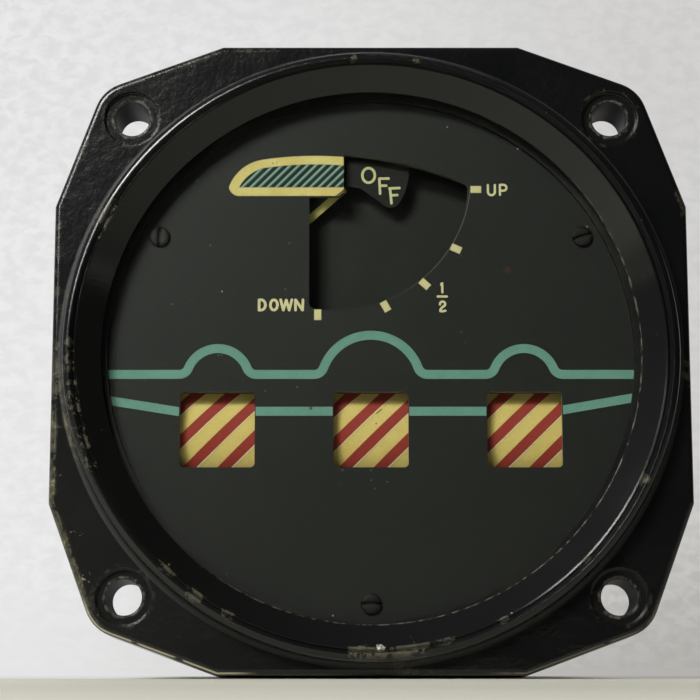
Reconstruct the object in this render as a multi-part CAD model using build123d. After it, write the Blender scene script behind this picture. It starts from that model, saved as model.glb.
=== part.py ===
"""Wheel and flap position indicator for a 3-1/8 inch panel cut-out. Sizes in millimetres.

The origin is the centre of the four mounting holes, on the front face of the flange.
The dial faces -Y, +X is the right-hand side of the dial and +Z is up.
A place along the depth of the instrument is a Y value: more is further from the viewer.
"""
import os
from math import cos, hypot, radians, sin, sqrt

from build123d import *

# Case casting
bolt_rim_distance = 4.765
bolt_hole_radius = 2.3
counterbore_radius = 3.6
counterbore_depth = 0.6
flange_margin = 1.585
flange_thickness = 9.5
flange_flat_length = 39.0
flange_corner_radius = 5.1
flange_edge_round = 0.7
rim_radius = 39.69
rim_height = 2.9
rim_crown_drop = 0.75
rim_crown_inset = 0.92
rim_edge_round = 0.85
rim_foot_cove = 0.6
barrel_step = 0.49
barrel_edge_chamfer = 1.0
rear_space = 23.8
case_back_thickness = 3.0
case_wall = 2.2
glass_shoulder = 1.3
ring_seat_depth = 2.2

# Glass and the rings around it
glass_thickness = 1.5
glass_edge_gap = 0.3
gasket_thickness = 0.3
gasket_width = 0.9
ring_width = 3.1
ring_land = 0.55
ring_front_edge = 0.25
ring_fit = 0.05
spacer_step = 0.6
spacer_glass_gap = 0.1

# Dial plate
dial_depth = 2.8
dial_thickness = 1.0
dial_edge_gap = 0.2
dial_screw_inset = 4.3
dial_screw_angles = (150, 30, 270)
dial_screw_slot_angles = (85, 20, 0)
dial_screw_head_radius = 1.35
dial_screw_head_height = 0.35
dial_screw_slot_width = 0.35
dial_screw_slot_depth = 0.22
stud_radius = 0.85
stud_clearance = 0.05
dial_screw_length = 2.4

# Wheel windows
wheel_pitch = 19.95
wheel_window_width = 9.75
wheel_window_height = 9.88
wheel_window_corner = 0.6
wheel_window_z = -9.58

# Flap window
flap_pivot_x = -6.95
flap_pivot_z = 22.45
wing_end_x = -3.55
wing_bottom_z = 21.55
window_left_x = -8.1
window_top_z = 27.25
window_top_middle = (5.0, 25.85)
window_top_right = (12.9, 23.2)
scale_arc_x = -4.78
scale_arc_z = 24.21
scale_arc_radius = 17.98
window_corner_round = 0.8

# Paint on the dial
paint_thickness = 0.06
line_width = 1.18
upper_line_z = -2.35
side_hump_height = 3.43
side_hump_radius = 4.1
centre_hump_height = 5.2
centre_hump_radius = 6.55
hump_foot_radius = 1.3
lower_line_z = -7.2
outer_line_rises = ((-1, -0.05, 1.45), (1, 0.18, 1.8))
line_end_x = 36.0
line_rise_end_x = 34.3
window_line_gap = 0.1
wing_nose_x = -18.75
wing_top_z = 27.03
wing_band = 1.2
wing_bottom_band = 1.2
wing_crown_back = 4.6
wing_crown_drop = 0.48
wing_shoulder_back = 1.45
wing_shoulder_drop = 2.0
wing_chin_back = 1.6
wing_jaw_back = 0.42
wing_jaw_rise = 0.4
wing_end_drop = 0.13
wing_hollow_back = 1.4
hatch_period = 1.124
hatch_share = 0.49
hatch_slope = 45.0
hatch_end_offset = 0.08
hatch_count = 15
tick_angles = (0.0, -23.8, -42.3, -60.6, -90.0)
tick_length = 1.45
tick_width = 0.97
tick_gap = 0.06

# Plates of the mechanism
dial_post_length = 3.0
dial_post_radius = 2.0
plate_gap = 0.6
front_plate_thickness = 1.2
rear_plate_gap = 2.0
rear_plate_thickness = 1.2
pillar_radius = 2.2
pillar_hole_depth = 5.0
pillar_stud_length = 4.5
rear_plate_relief_radius = 6.5
rear_plate_relief_offset = 14.0
case_screw_radius = 1.25
case_screw_head_radius = 2.4
case_screw_head_height = 1.6
case_screw_length = 8.0

# Wheel drums
drum_radius = 11.5
drum_wall = 0.5
drum_width = 11.0
drum_half_span = 80.0
drum_dial_gap = 0.4
drum_side_gap = 0.5
drum_plate_gap = 0.4
drum_hub_radius = 1.8
drum_hub_length = 1.5
drum_shaft_radius = 0.6
drum_shaft_overhang = 0.4
drum_magnet_radius = 3.6
drum_magnet_length = 4.6
drum_air_gap = 0.4
drum_core_width = 4.0
drum_core_arm = 2.2
drum_core_half_height = 5.6
drum_core_back = 3.2
drum_coil_wall = 1.1
drum_coil_length = 3.8
drum_coil_back_gap = 0.3
coil_slack = 0.05
stripe_period = 4.46
stripe_share = 0.45
stripe_slope = 44.5
stripe_half_span = 26.5
stripe_phases = {"left": -1.15, "centre": -1.54, "right": -1.85}

# Folded frame behind the drums
sheet = 0.8
drum_frame_height = 10.4
drum_frame_foot = 4.7
drum_frame_screw_offset = 3.2
bush_wall = 0.65

# Flap pointer and its receiver
pointer_depth = 5.1
pointer_thickness = 0.4
pointer_reach = 18.0
pointer_heel = 2.9
pointer_root_top = 2.63
pointer_root_bottom = 0.9
pointer_tip_top = 0.63
pointer_tip_bottom = 0.35
pointer_corner_round = 0.3
pointer_band = 0.98
pointer_bare_length = 3.2
pointer_bare_top = 1.0
pointer_park_angle = -132.8
pointer_hub_radius = 1.7
pointer_hub_length = 1.1
flap_shaft_radius = 1.0
flap_bush_radius = 2.0
flap_case_edge_gap = 2.0
flap_case_wall = 0.6
flap_case_depth = 10.0
flap_case_back = 0.8
flap_cap_thickness = 0.8
flap_winding_gap = 0.5
flap_core_width = 1.4
flap_core_length = 5.5
flap_core_inset = 2.0
flap_lug_width = 1.2
flap_winding_thickness = 0.8
flap_winding_half_span = 55.0
flap_air_gap = 1.8
flap_magnet_length = 5.0
flap_shaft_end_gap = 0.4
flap_rear_bush_length = 1.8
flap_cap_gap = 0.3
flap_screw_inset = 4.5

# OFF flag and its magnet movement
flag_depth = 4.25
flag_thickness = 0.3
flag_pivot_x = -12.5
flag_pivot_z = 26.4
flag_hub_radius = 1.6
flag_hub_length = 1.6
flag_shaft_radius = 0.6
flag_bush_radius = 1.5
flag_shaft_length = 10.0
flag_tip = (2.93, 19.8)
flag_tip_round = 1.4
flag_right_edge = (4.85, 23.3)
flag_right_top = (5.1, 26.2)
flag_elbow = (-1.3, 22.95)
flag_elbow_round = 0.5
flag_magnet_radius = 2.0
flag_magnet_length = 2.7
flag_air_gap = 0.4
flag_core_arm = 1.2
flag_core_thickness = 3.2
flag_core_reach = 14.4
flag_core_back = 2.0
flag_coil_wall = 1.3
flag_coil_length = 6.0
flag_coil_offset = 4.9
flag_coil_gap = 0.85
flag_bracket_gap = 0.4
flag_bracket_half_height = 3.3
flag_bracket_right = 3.1
flag_bracket_foot = 3.3

# Small screws of the mechanism
screw_head_radius = 1.5
screw_head_height = 1.0
screw_radius = 0.75
screw_length = 1.9
screw_clearance = 0.05

# Rear receptacle
connector_hole_radius = 12.5
connector_flange = 34.93
connector_flange_thickness = 2.2
connector_flange_corner = 2.5
connector_bolt_spacing = 26.97
connector_gasket_thickness = 0.8
connector_shell_radius = 14.29
connector_shell_bore = 12.6
connector_shell_length = 14.3
connector_tail_radius = 12.2
connector_tail_bore = 11.2
connector_tail_length = 6.0
connector_insert_length = 10.0
connector_insert_step = 3.0
connector_key_width = 2.4
connector_key_depth = 0.8
pin_radius = 0.79
pin_front_length = 6.5
pin_tail_length = 4.0
outer_pin_count = 7
outer_pin_circle_radius = 7.6
inner_pin_count = 3
inner_pin_circle_radius = 2.9
connector_screw_radius = 1.35
connector_screw_head_radius = 2.2
connector_screw_head_height = 1.5
connector_screw_length = 5.7

running_fit = 0.02
press_gap = 0.01

# Sizes and places that follow from the ones above
flange_width = 2 * (rim_radius + flange_margin)
bolt_half = (rim_radius + bolt_rim_distance) / sqrt(2)
rim_crown_radius = rim_radius - rim_crown_inset
barrel_radius = rim_radius - barrel_step
case_bore_radius = barrel_radius - case_wall
ring_seat_radius = case_bore_radius + glass_shoulder
glass_radius = ring_seat_radius - glass_edge_gap
ring_sight_radius = glass_radius - ring_width
spacer_sight_radius = ring_sight_radius - spacer_step
plate_radius = case_bore_radius - plate_gap
dial_screw_circle_radius = plate_radius - dial_screw_inset
flap_case_radius = case_bore_radius - hypot(flap_pivot_x, flap_pivot_z) - flap_case_edge_gap
flap_screw_circle_radius = flap_case_radius - flap_screw_inset
flap_winding_radius = flap_case_radius - flap_case_wall - flap_winding_gap
flap_core_outer_radius = flap_winding_radius - flap_winding_thickness
flap_core_inner_radius = flap_core_outer_radius - flap_core_width
flap_magnet_radius = flap_core_inner_radius - flap_winding_thickness - flap_air_gap
glass_back = ring_seat_depth - gasket_thickness
glass_front = glass_back - glass_thickness
dial_back = dial_depth + dial_thickness
front_plate_front = dial_back + dial_post_length
front_plate_back = front_plate_front + front_plate_thickness
drum_axis_y = dial_back + drum_dial_gap + drum_radius
drum_face_half = drum_width / 2
ear_inner = drum_face_half + drum_side_gap
drum_frame_front = drum_axis_y + drum_radius
drum_frame_back = drum_frame_front + sheet
rear_plate_depth = drum_frame_back + rear_plate_gap
rear_plate_back = rear_plate_depth + rear_plate_thickness
case_inner_back = rear_plate_back + rear_space
case_depth = case_inner_back + case_back_thickness
flap_case_front = rear_plate_depth - flap_case_depth
flap_core_front = flap_case_front + flap_core_inset
flap_shaft_back = rear_plate_depth - flap_shaft_end_gap
flag_back = flag_depth + flag_thickness
pointer_back = pointer_depth + pointer_thickness
flag_core_front = front_plate_back + flag_coil_gap + flag_coil_wall + coil_slack
flag_bracket_depth = flag_core_front + flag_core_thickness
flag_pole_inner = flag_magnet_radius + flag_air_gap
flag_pole_outer = flag_pole_inner + flag_core_arm
flag_riser_left = flag_pivot_x - flag_pole_outer - flag_bracket_gap - sheet
connector_flange_front = case_depth + connector_gasket_thickness
connector_flange_back = connector_flange_front + connector_flange_thickness
connector_insert_back = connector_flange_back + connector_insert_step
connector_insert_front = connector_insert_back - connector_insert_length
wheel_centres = {"left": -wheel_pitch, "centre": 0.0, "right": wheel_pitch}


def slab(sketch, front, back):
    """A sketch drawn as seen from the front, made solid between two depths."""
    return extrude(Plane.XZ.offset(-back) * sketch, amount=back - front)


def disc(radius, front, back, x=0.0, z=0.0):
    return slab(Pos(x, z) * Circle(radius), front, back)


def tube(outer, inner, front, back, x=0.0, z=0.0):
    return slab(Pos(x, z) * (Circle(outer) - Circle(inner)), front, back)


def box(left, right, front, back, low, high):
    centre = Pos((left + right) / 2, (low + high) / 2)
    return slab(centre * Rectangle(right - left, high - low), front, back)


def across(sketch, left, right):
    """A sketch drawn with Y to its right and Z up, made solid between two X places."""
    return extrude(Plane.YZ.offset(left) * sketch, amount=right - left)


def rod(outer, inner, left, right):
    """A tube along X on the axis of the wheel drums."""
    section = Circle(outer) - Circle(inner) if inner else Circle(outer)
    return across(Pos(drum_axis_y, wheel_window_z) * section, left, right)


def turned(points):
    """A (radius, depth) outline turned about the centre line of the case."""
    return revolve(make_face(Polyline(*points, close=True)), Axis.Y)


def polygon(*points):
    return make_face(Polyline(*points, close=True))


def group(solids):
    """Separate solids that share one node."""
    return Compound(children=list(solids))


def on_circle(radius, angles):
    return [(radius * cos(radians(a)), radius * sin(radians(a))) for a in angles]


def flange_outline():
    """Square with long flats, slanted shoulders and corners round the bolt holes."""
    half = flange_width / 2
    flat = flange_flat_length / 2
    edges = []
    for sx in (-1, 1):
        edges.append(Line((sx * half, -flat), (sx * half, flat)))
        edges.append(Line((-flat, sx * half), (flat, sx * half)))
        for sz in (-1, 1):
            corner = Pos(sx * bolt_half, sz * bolt_half) * Circle(flange_corner_radius)
            edges += corner.edges()
    return make_hull(edges)


def bolt_places():
    return [(sx * bolt_half, sz * bolt_half) for sx in (-1, 1) for sz in (-1, 1)]


def screw_places():
    return on_circle(dial_screw_circle_radius, dial_screw_angles)


def connector_bolt_places():
    half = connector_bolt_spacing / 2
    return [(sx * half, sz * half) for sx in (-1, 1) for sz in (-1, 1)]


def make_case():
    flange = slab(flange_outline(), 0, flange_thickness)
    front_edges = flange.faces().sort_by(Axis.Y)[0].edges()
    flange = fillet(front_edges, flange_edge_round)
    flange -= disc(rim_crown_radius, -1, flange_thickness + 1)
    body = turned([
        (ring_seat_radius, rim_crown_drop - rim_height),
        (rim_crown_radius, -rim_height),
        (rim_radius, -rim_height),
        (rim_radius, flange_thickness / 2),
        (barrel_radius, flange_thickness / 2),
        (barrel_radius, case_depth - barrel_edge_chamfer),
        (barrel_radius - barrel_edge_chamfer, case_depth),
        (0, case_depth),
        (0, case_inner_back),
        (case_bore_radius, case_inner_back),
        (case_bore_radius, ring_seat_depth),
        (ring_seat_radius, ring_seat_depth),
    ])
    case = flange + body
    foot = [
        edge for edge in case.edges().filter_by(GeomType.CIRCLE)
        if abs(edge.radius - rim_radius) < 0.01 and abs(edge.arc_center.Y) < 0.01
    ]
    case = fillet(foot, rim_foot_cove)
    outer_lip = [
        edge for edge in case.edges().filter_by(GeomType.CIRCLE)
        if abs(edge.radius - rim_radius) < 0.01 and abs(edge.arc_center.Y + rim_height) < 0.01
    ]
    case = fillet(outer_lip, rim_edge_round)
    for x, z in bolt_places():
        case -= disc(bolt_hole_radius, -1, flange_thickness + 1, x, z)
        case -= disc(counterbore_radius, -1, counterbore_depth, x, z)
    case -= disc(connector_hole_radius, case_inner_back - 1, case_depth + 1)
    for x, z in connector_bolt_places():
        case -= disc(connector_screw_radius + screw_clearance,
                     case_inner_back - 1, case_depth + 1, x, z)
    for x, z in screw_places():
        case -= disc(case_screw_radius + screw_clearance,
                     case_inner_back - 1, case_depth + 1, x, z)
    return case


def make_retaining_ring():
    outer = ring_seat_radius - ring_fit
    front = rim_crown_drop - rim_height
    return turned([
        (outer, front),
        (outer - ring_front_edge, front),
        (ring_sight_radius, glass_front - ring_land),
        (ring_sight_radius, glass_front),
        (outer, glass_front),
    ])


def make_cover_glass():
    return disc(glass_radius, glass_front, glass_back)


def make_glass_gasket():
    inner = glass_radius - gasket_width
    return tube(glass_radius, inner, glass_back, ring_seat_depth)


def make_dial_spacer_ring():
    outer = case_bore_radius - dial_edge_gap
    return tube(outer, spacer_sight_radius, glass_back + spacer_glass_gap, dial_depth)


def flap_window():
    """The flap window: wing end, left edge, scale arc and the sloping top edge."""
    drop = sqrt(scale_arc_radius ** 2 - (window_left_x - scale_arc_x) ** 2)
    arc_start = (window_left_x, scale_arc_z - drop)
    middle_angle = radians(-45)
    arc_middle = (scale_arc_x + scale_arc_radius * cos(middle_angle),
                  scale_arc_z + scale_arc_radius * sin(middle_angle))
    top_left = (wing_end_x, window_top_z)
    wing_corner = (wing_end_x, wing_bottom_z)
    left_top = (window_left_x, wing_bottom_z)
    outline = [
        Line(top_left, wing_corner),
        Line(wing_corner, left_top),
        Line(left_top, arc_start),
        ThreePointArc(arc_start, arc_middle, window_top_right),
        ThreePointArc(window_top_right, window_top_middle, top_left),
    ]
    window = make_face(Curve() + outline)
    rounded = [arc_start, wing_corner, window_top_right]
    corners = [
        vertex for vertex in window.vertices()
        if any(abs(vertex.X - x) + abs(vertex.Y - z) < 0.01 for x, z in rounded)
    ]
    return fillet(corners, window_corner_round)


def wheel_window():
    return RectangleRounded(wheel_window_width, wheel_window_height, wheel_window_corner)


def make_dial_plate():
    face = Circle(case_bore_radius - dial_edge_gap) - flap_window()
    for x in wheel_centres.values():
        face -= Pos(x, wheel_window_z) * wheel_window()
    for x, z in screw_places():
        face -= Pos(x, z) * Circle(stud_radius + stud_clearance)
    return slab(face, dial_depth, dial_back)


def upper_line():
    """The upper green line: level, with one tall hump between two low ones."""
    ground = Pos(0, upper_line_z - line_end_x) * Rectangle(3 * line_end_x, 2 * line_end_x)
    humps = [
        (-wheel_pitch, side_hump_height, side_hump_radius),
        (0.0, centre_hump_height, centre_hump_radius),
        (wheel_pitch, side_hump_height, side_hump_radius),
    ]
    for x, height, radius in humps:
        ground += Pos(x, upper_line_z + height - radius) * Circle(radius)
    feet = [
        vertex for vertex in ground.vertices()
        if abs(vertex.Y - upper_line_z) < 0.01 and abs(vertex.X) < line_end_x
    ]
    ground = fillet(feet, hump_foot_radius)
    band = offset(ground, line_width / 2) - offset(ground, -line_width / 2)
    strip = 2 * centre_hump_height
    return band & Pos(0, upper_line_z + strip / 2 - line_width) * Rectangle(2 * line_end_x, strip)


def lower_lines():
    """The lower green line, broken by the wheel windows and rising at its outer ends."""
    edge = wheel_window_width / 2 + window_line_gap
    half = line_width / 2
    pieces = []
    for side in (-1, 1):
        inner = side * edge
        outer = side * (wheel_pitch - edge)
        middle = (inner + outer) / 2
        pieces.append(Pos(middle, lower_line_z) * Rectangle(abs(outer - inner), line_width))
    for side, near_rise, far_rise in outer_line_rises:
        near = side * (wheel_pitch + edge)
        far = side * line_rise_end_x
        near_z = lower_line_z + near_rise
        far_z = lower_line_z + far_rise
        pieces.append(polygon(
            (near, near_z - half), (far, far_z - half),
            (far, far_z + half), (near, near_z + half),
        ))
    return pieces


def wing_shape(inset, bottom):
    """The front part of an aerofoil, closed by a straight cut at the window."""
    crown = (wing_nose_x + wing_crown_back, wing_top_z - wing_crown_drop - inset)
    shoulder = (wing_nose_x + wing_shoulder_back + inset * cos(radians(36)),
                wing_top_z - wing_shoulder_drop - inset * sin(radians(48)))
    end_top = (wing_end_x, wing_top_z - wing_end_drop - inset)
    end_bottom = (wing_end_x, bottom)
    top_middle = ((crown[0] + wing_end_x) / 2, wing_top_z - inset)
    if inset:
        chin = (wing_nose_x + wing_hollow_back, bottom)
        nose = chin
        front = []
    else:
        chin = (wing_nose_x + wing_chin_back, bottom)
        nose = (wing_nose_x, bottom + wing_band)
        jaw = (wing_nose_x + wing_jaw_back, bottom + wing_jaw_rise)
        front = [ThreePointArc(chin, jaw, nose)]
    outline = front + [
        ThreePointArc(nose, shoulder, crown),
        ThreePointArc(crown, top_middle, end_top),
        Line(end_top, end_bottom),
        Line(end_bottom, chin),
    ]
    return make_face(Curve() + outline)


def wing_hollow():
    return wing_shape(wing_band, wing_bottom_z + wing_bottom_band) - flap_window()


def wing_hatch():
    """Slanted bars that fill the hollow of the wing."""
    foot_z = wing_bottom_z + wing_bottom_band
    width = hatch_period * hatch_share * sin(radians(hatch_slope))
    length = 4 * (wing_top_z - wing_bottom_z)
    hollow = wing_hollow()
    bars = []
    for index in range(hatch_count):
        foot_x = wing_end_x + hatch_end_offset - index * hatch_period
        bar = Pos(foot_x, foot_z) * Rot(0, 0, hatch_slope) * Rectangle(length, width)
        bars += (bar & hollow).faces()
    return bars


def make_dial_green_marks():
    front = dial_depth - paint_thickness
    sight = Circle(spacer_sight_radius - press_gap)
    lines = [line & sight for line in [upper_line()] + lower_lines()]
    return group(slab(sketch, front, dial_depth) for sketch in lines + wing_hatch())


def scale_ticks():
    """Short bars that point at the flap pivot, set just outside the window's edge."""
    ticks = []
    for angle in tick_angles:
        run_x = cos(radians(angle))
        run_z = sin(radians(angle))
        from_x = flap_pivot_x - scale_arc_x
        from_z = flap_pivot_z - scale_arc_z
        along = from_x * run_x + from_z * run_z
        across_square = from_x ** 2 + from_z ** 2 - along ** 2
        edge = sqrt(scale_arc_radius ** 2 - across_square) - along
        reach = edge + tick_gap + tick_length / 2
        place = Pos(flap_pivot_x + reach * run_x, flap_pivot_z + reach * run_z)
        ticks.append(place * Rot(0, 0, angle) * Rectangle(tick_length, tick_width))
    return ticks


def make_dial_cream_marks():
    front = dial_depth - paint_thickness
    wing = wing_shape(0.0, wing_bottom_z) - flap_window() - wing_hollow()
    return group(slab(sketch, front, dial_depth) for sketch in [wing] + scale_ticks())


def make_dial_screw(x, z, slot_angle):
    top = dial_depth - dial_screw_head_height
    head = disc(dial_screw_head_radius, top, dial_depth, x, z)
    slot = Pos(x, z) * Rot(0, 0, slot_angle) * Rectangle(
        3 * dial_screw_head_radius, dial_screw_slot_width)
    head -= slab(slot, top - 1, top + dial_screw_slot_depth)
    return head + disc(stud_radius, dial_depth, dial_depth + dial_screw_length, x, z)


def make_dial_screws():
    places = zip(screw_places(), dial_screw_slot_angles)
    return group(make_dial_screw(x, z, slot) for (x, z), slot in places)


def make_dial_posts():
    bore = stud_radius + stud_clearance
    return group(tube(dial_post_radius, bore, dial_back, front_plate_front, x, z)
                 for x, z in screw_places())


def drum_foot_places():
    """Screws through the two end feet of the drum frame."""
    x = wheel_pitch + ear_inner + sheet + drum_frame_foot / 2
    return [(sx * x, wheel_window_z + sz * drum_frame_screw_offset)
            for sx in (-1, 1) for sz in (-1, 1)]


def flag_foot_places():
    x = flag_riser_left - flag_bracket_foot / 2
    return [(x, flag_pivot_z + s * flag_bracket_half_height / 2) for s in (-1, 1)]


def flap_screw_places():
    spots = on_circle(flap_screw_circle_radius, (90, 210, 330))
    return [(flap_pivot_x + x, flap_pivot_z + z) for x, z in spots]


def make_front_plate():
    face = Circle(plate_radius)
    chord = sqrt(drum_radius ** 2 - (drum_axis_y - front_plate_back) ** 2)
    opening_width = drum_width + 2 * drum_plate_gap
    opening_height = 2 * (chord + drum_plate_gap)
    for x in wheel_centres.values():
        face -= Pos(x, wheel_window_z) * Rectangle(opening_width, opening_height)
    for x, z in screw_places():
        face -= Pos(x, z) * Circle(stud_radius + stud_clearance)
    for x, z in drum_foot_places() + flag_foot_places():
        face -= Pos(x, z) * Circle(screw_radius + screw_clearance)
    face -= Pos(flap_pivot_x, flap_pivot_z) * Circle(flap_bush_radius)
    face -= Pos(flag_pivot_x, flag_pivot_z) * Circle(flag_bush_radius)
    return slab(face, front_plate_front, front_plate_back)


def make_rear_plate():
    face = Circle(plate_radius)
    for side in (-1, 1):
        relief = Pos(side * rear_plate_relief_offset, -rear_plate_relief_offset)
        face -= relief * Circle(rear_plate_relief_radius)
    for x, z in screw_places():
        face -= Pos(x, z) * Circle(stud_radius + stud_clearance)
    for x, z in flap_screw_places():
        face -= Pos(x, z) * Circle(screw_radius + screw_clearance)
    return slab(face, rear_plate_depth, rear_plate_back)


def make_front_pillar(x, z):
    """A pillar with a stud into the dial post and a tapped hole at its back."""
    pillar = disc(pillar_radius, front_plate_back, rear_plate_depth, x, z)
    stud_tip = dial_depth + dial_screw_length + stud_clearance
    pillar += disc(stud_radius, stud_tip, front_plate_back, x, z)
    hole_front = rear_plate_depth - pillar_hole_depth
    return pillar - disc(stud_radius + stud_clearance, hole_front, rear_plate_depth + 1, x, z)


def make_rear_pillar(x, z):
    """A pillar with a stud through the rear plate and a tapped hole for the case screw."""
    pillar = disc(pillar_radius, rear_plate_back, case_inner_back, x, z)
    pillar += disc(stud_radius, rear_plate_back - pillar_stud_length, rear_plate_back, x, z)
    hole_front = case_depth - case_screw_length - stud_clearance
    bore = case_screw_radius + press_gap
    return pillar - disc(bore, hole_front, case_depth, x, z)


def make_case_screw(x, z):
    head_back = case_depth + case_screw_head_height
    screw = disc(case_screw_head_radius, case_depth, head_back, x, z)
    slot = Pos(x, z) * Rectangle(3 * case_screw_head_radius, case_screw_head_height / 2)
    screw -= slab(slot, head_back - case_screw_head_height / 2, head_back + 1)
    return screw + disc(case_screw_radius, case_depth - case_screw_length, case_depth, x, z)


def make_mechanism_screw(x, z, seat):
    screw = disc(screw_head_radius, seat, seat + screw_head_height, x, z)
    slot = Pos(x, z) * Rectangle(3 * screw_head_radius, screw_head_height / 2.5)
    screw -= slab(slot, seat + screw_head_height / 2, seat + screw_head_height + 1)
    return screw + disc(screw_radius, seat - screw_length, seat, x, z)


def make_mechanism_screws():
    feet = drum_foot_places() + flag_foot_places()
    screws = [make_mechanism_screw(x, z, front_plate_back + sheet) for x, z in feet]
    for x in wheel_centres.values():
        screws.append(make_mechanism_screw(x, wheel_window_z, drum_frame_back))
    for x, z in flap_screw_places():
        screws.append(make_mechanism_screw(x, z, rear_plate_back))
    return group(screws)


def make_drum_frame():
    """Folded sheet: a back strip, an ear at each side of each drum and two end feet."""
    low = wheel_window_z - drum_frame_height / 2
    high = wheel_window_z + drum_frame_height / 2
    end = wheel_pitch + ear_inner + sheet
    frame = box(-end, end, drum_frame_front, drum_frame_back, low, high)
    for x in wheel_centres.values():
        for side in (-1, 1):
            inner = x + side * ear_inner
            outer = inner + side * sheet
            frame += box(min(inner, outer), max(inner, outer),
                         front_plate_back, drum_frame_front, low, high)
        frame -= disc(screw_radius + screw_clearance,
                      drum_frame_front - 1, drum_frame_back + 1, x, wheel_window_z)
    for side in (-1, 1):
        inner = side * end
        outer = side * (end + drum_frame_foot)
        frame += box(min(inner, outer), max(inner, outer),
                     front_plate_back, front_plate_back + sheet, low, high)
    for x, z in drum_foot_places():
        frame -= disc(screw_radius + screw_clearance,
                      front_plate_back - 1, front_plate_back + sheet + 1, x, z)
    bush_hole = drum_shaft_radius + running_fit + bush_wall
    return frame - rod(bush_hole, 0, -end - 1, end + 1)


def make_drum_bushes():
    inner_radius = drum_shaft_radius + running_fit
    bushes = []
    for x in wheel_centres.values():
        for side in (-1, 1):
            inner = x + side * ear_inner
            outer = inner + side * sheet
            bushes.append(rod(inner_radius + bush_wall, inner_radius,
                              min(inner, outer), max(inner, outer)))
    return group(bushes)


def drum_sector(radius, half_span):
    """A wedge of a disc that faces the dial."""
    angle = radians(half_span)
    wedge = polygon(
        (0, 0),
        (-radius * cos(angle), radius * sin(angle)),
        (-radius, radius),
        (-radius, -radius),
        (-radius * cos(angle), -radius * sin(angle)),
    )
    return Circle(radius) & wedge


def make_drum(x):
    """A drum open at the back: a curved face, two side webs and a hub at each web."""
    axis = Pos(drum_axis_y, wheel_window_z)
    bore = Circle(drum_shaft_radius + press_gap)
    rim = drum_sector(drum_radius, drum_half_span)
    face = rim - Circle(drum_radius - drum_wall)
    web = rim + Circle(drum_hub_radius) - bore
    hub = Circle(drum_hub_radius) - bore
    left = x - drum_face_half
    right = x + drum_face_half
    drum = across(axis * face, left, right)
    drum += across(axis * web, left, left + drum_wall)
    drum += across(axis * web, right - drum_wall, right)
    drum += across(axis * hub, left, left + drum_wall + drum_hub_length)
    drum += across(axis * hub, right - drum_wall - drum_hub_length, right)
    return drum


def make_drum_stripes(x, phase):
    """Slanted bars of paint wrapped on the middle of the drum's face."""
    outer = drum_sector(drum_radius + paint_thickness, stripe_half_span)
    skin = across(Pos(drum_axis_y, wheel_window_z) * (outer - Circle(drum_radius)),
                  x - drum_face_half, x + drum_face_half)
    count = 3
    width = stripe_period * stripe_share * cos(radians(stripe_slope))
    stripes = []
    for index in range(-count, count + 1):
        z = wheel_window_z + phase + index * stripe_period
        bar = Pos(x, z) * Rot(0, 0, stripe_slope) * Rectangle(4 * drum_width, width)
        stripe = skin & slab(bar, dial_back, drum_axis_y)
        stripes += stripe.solids()
    return group(stripes)


def make_drum_shaft(x):
    end = ear_inner + sheet + drum_shaft_overhang
    return rod(drum_shaft_radius, 0, x - end, x + end)


def make_drum_magnet(x):
    half = drum_magnet_length / 2
    return rod(drum_magnet_radius, drum_shaft_radius + press_gap, x - half, x + half)


def make_drum_core(x):
    """A C of iron: two arms with hollowed pole faces, joined at the back."""
    left = x - drum_core_width / 2
    right = x + drum_core_width / 2
    front = drum_axis_y - drum_magnet_radius
    slot_half = drum_core_half_height - drum_core_arm
    core = box(left, right, front, drum_frame_front,
               wheel_window_z - drum_core_half_height, wheel_window_z + drum_core_half_height)
    core -= box(left - 1, right + 1, front - 1, drum_frame_front - drum_core_back,
                wheel_window_z - slot_half, wheel_window_z + slot_half)
    core -= rod(drum_magnet_radius + drum_air_gap, 0, left - 1, right + 1)
    hole_front = drum_frame_back - screw_length - screw_clearance
    return core - disc(screw_radius + screw_clearance, hole_front,
                       drum_frame_front + 1, x, wheel_window_z)


def make_drum_coils(x):
    """A coil round each arm of the core."""
    hole_half_width = drum_core_width / 2 + coil_slack
    half_width = hole_half_width + drum_coil_wall
    back = drum_frame_front - drum_core_back - drum_coil_back_gap
    front = back - drum_coil_length
    arm_middle = drum_core_half_height - drum_core_arm / 2
    hole_half_height = drum_core_arm / 2 + coil_slack
    half_height = hole_half_height + drum_coil_wall
    coils = []
    for side in (-1, 1):
        z = wheel_window_z + side * arm_middle
        coil = box(x - half_width, x + half_width, front, back,
                   z - half_height, z + half_height)
        coil -= box(x - hole_half_width, x + hole_half_width, front - 1, back + 1,
                    z - hole_half_height, z + hole_half_height)
        coils.append(coil)
    return group(coils)


def parked(sketch):
    """A sketch in the pointer's own frame, turned to where the pointer parks."""
    return Pos(flap_pivot_x, flap_pivot_z) * Rot(0, 0, pointer_park_angle) * sketch


def pointer_outline():
    """The tapered blade of the flap, parked."""
    blade = polygon(
        (-pointer_heel, pointer_root_top),
        (pointer_reach, pointer_tip_top),
        (pointer_reach, -pointer_tip_bottom),
        (-pointer_heel, -pointer_root_bottom),
    )
    blade = fillet(blade.vertices(), pointer_corner_round)
    return parked(blade)


def make_flap_pointer():
    blade = slab(pointer_outline(), pointer_depth, pointer_back)
    return blade + tube(pointer_hub_radius, flap_shaft_radius + press_gap,
                        pointer_back, pointer_back + pointer_hub_length,
                        flap_pivot_x, flap_pivot_z)


def make_flap_pointer_marks():
    """A painted band along the blade's edge, left off the lower side of its heel."""
    outline = pointer_outline()
    length = pointer_heel + pointer_bare_length
    heel = Pos(pointer_bare_length - length / 2, -pointer_root_bottom) * Rectangle(
        length, 2 * (pointer_root_bottom + pointer_bare_top))
    band = outline - offset(outline, -pointer_band) - parked(heel)
    return slab(band, pointer_depth - paint_thickness, pointer_depth)


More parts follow.
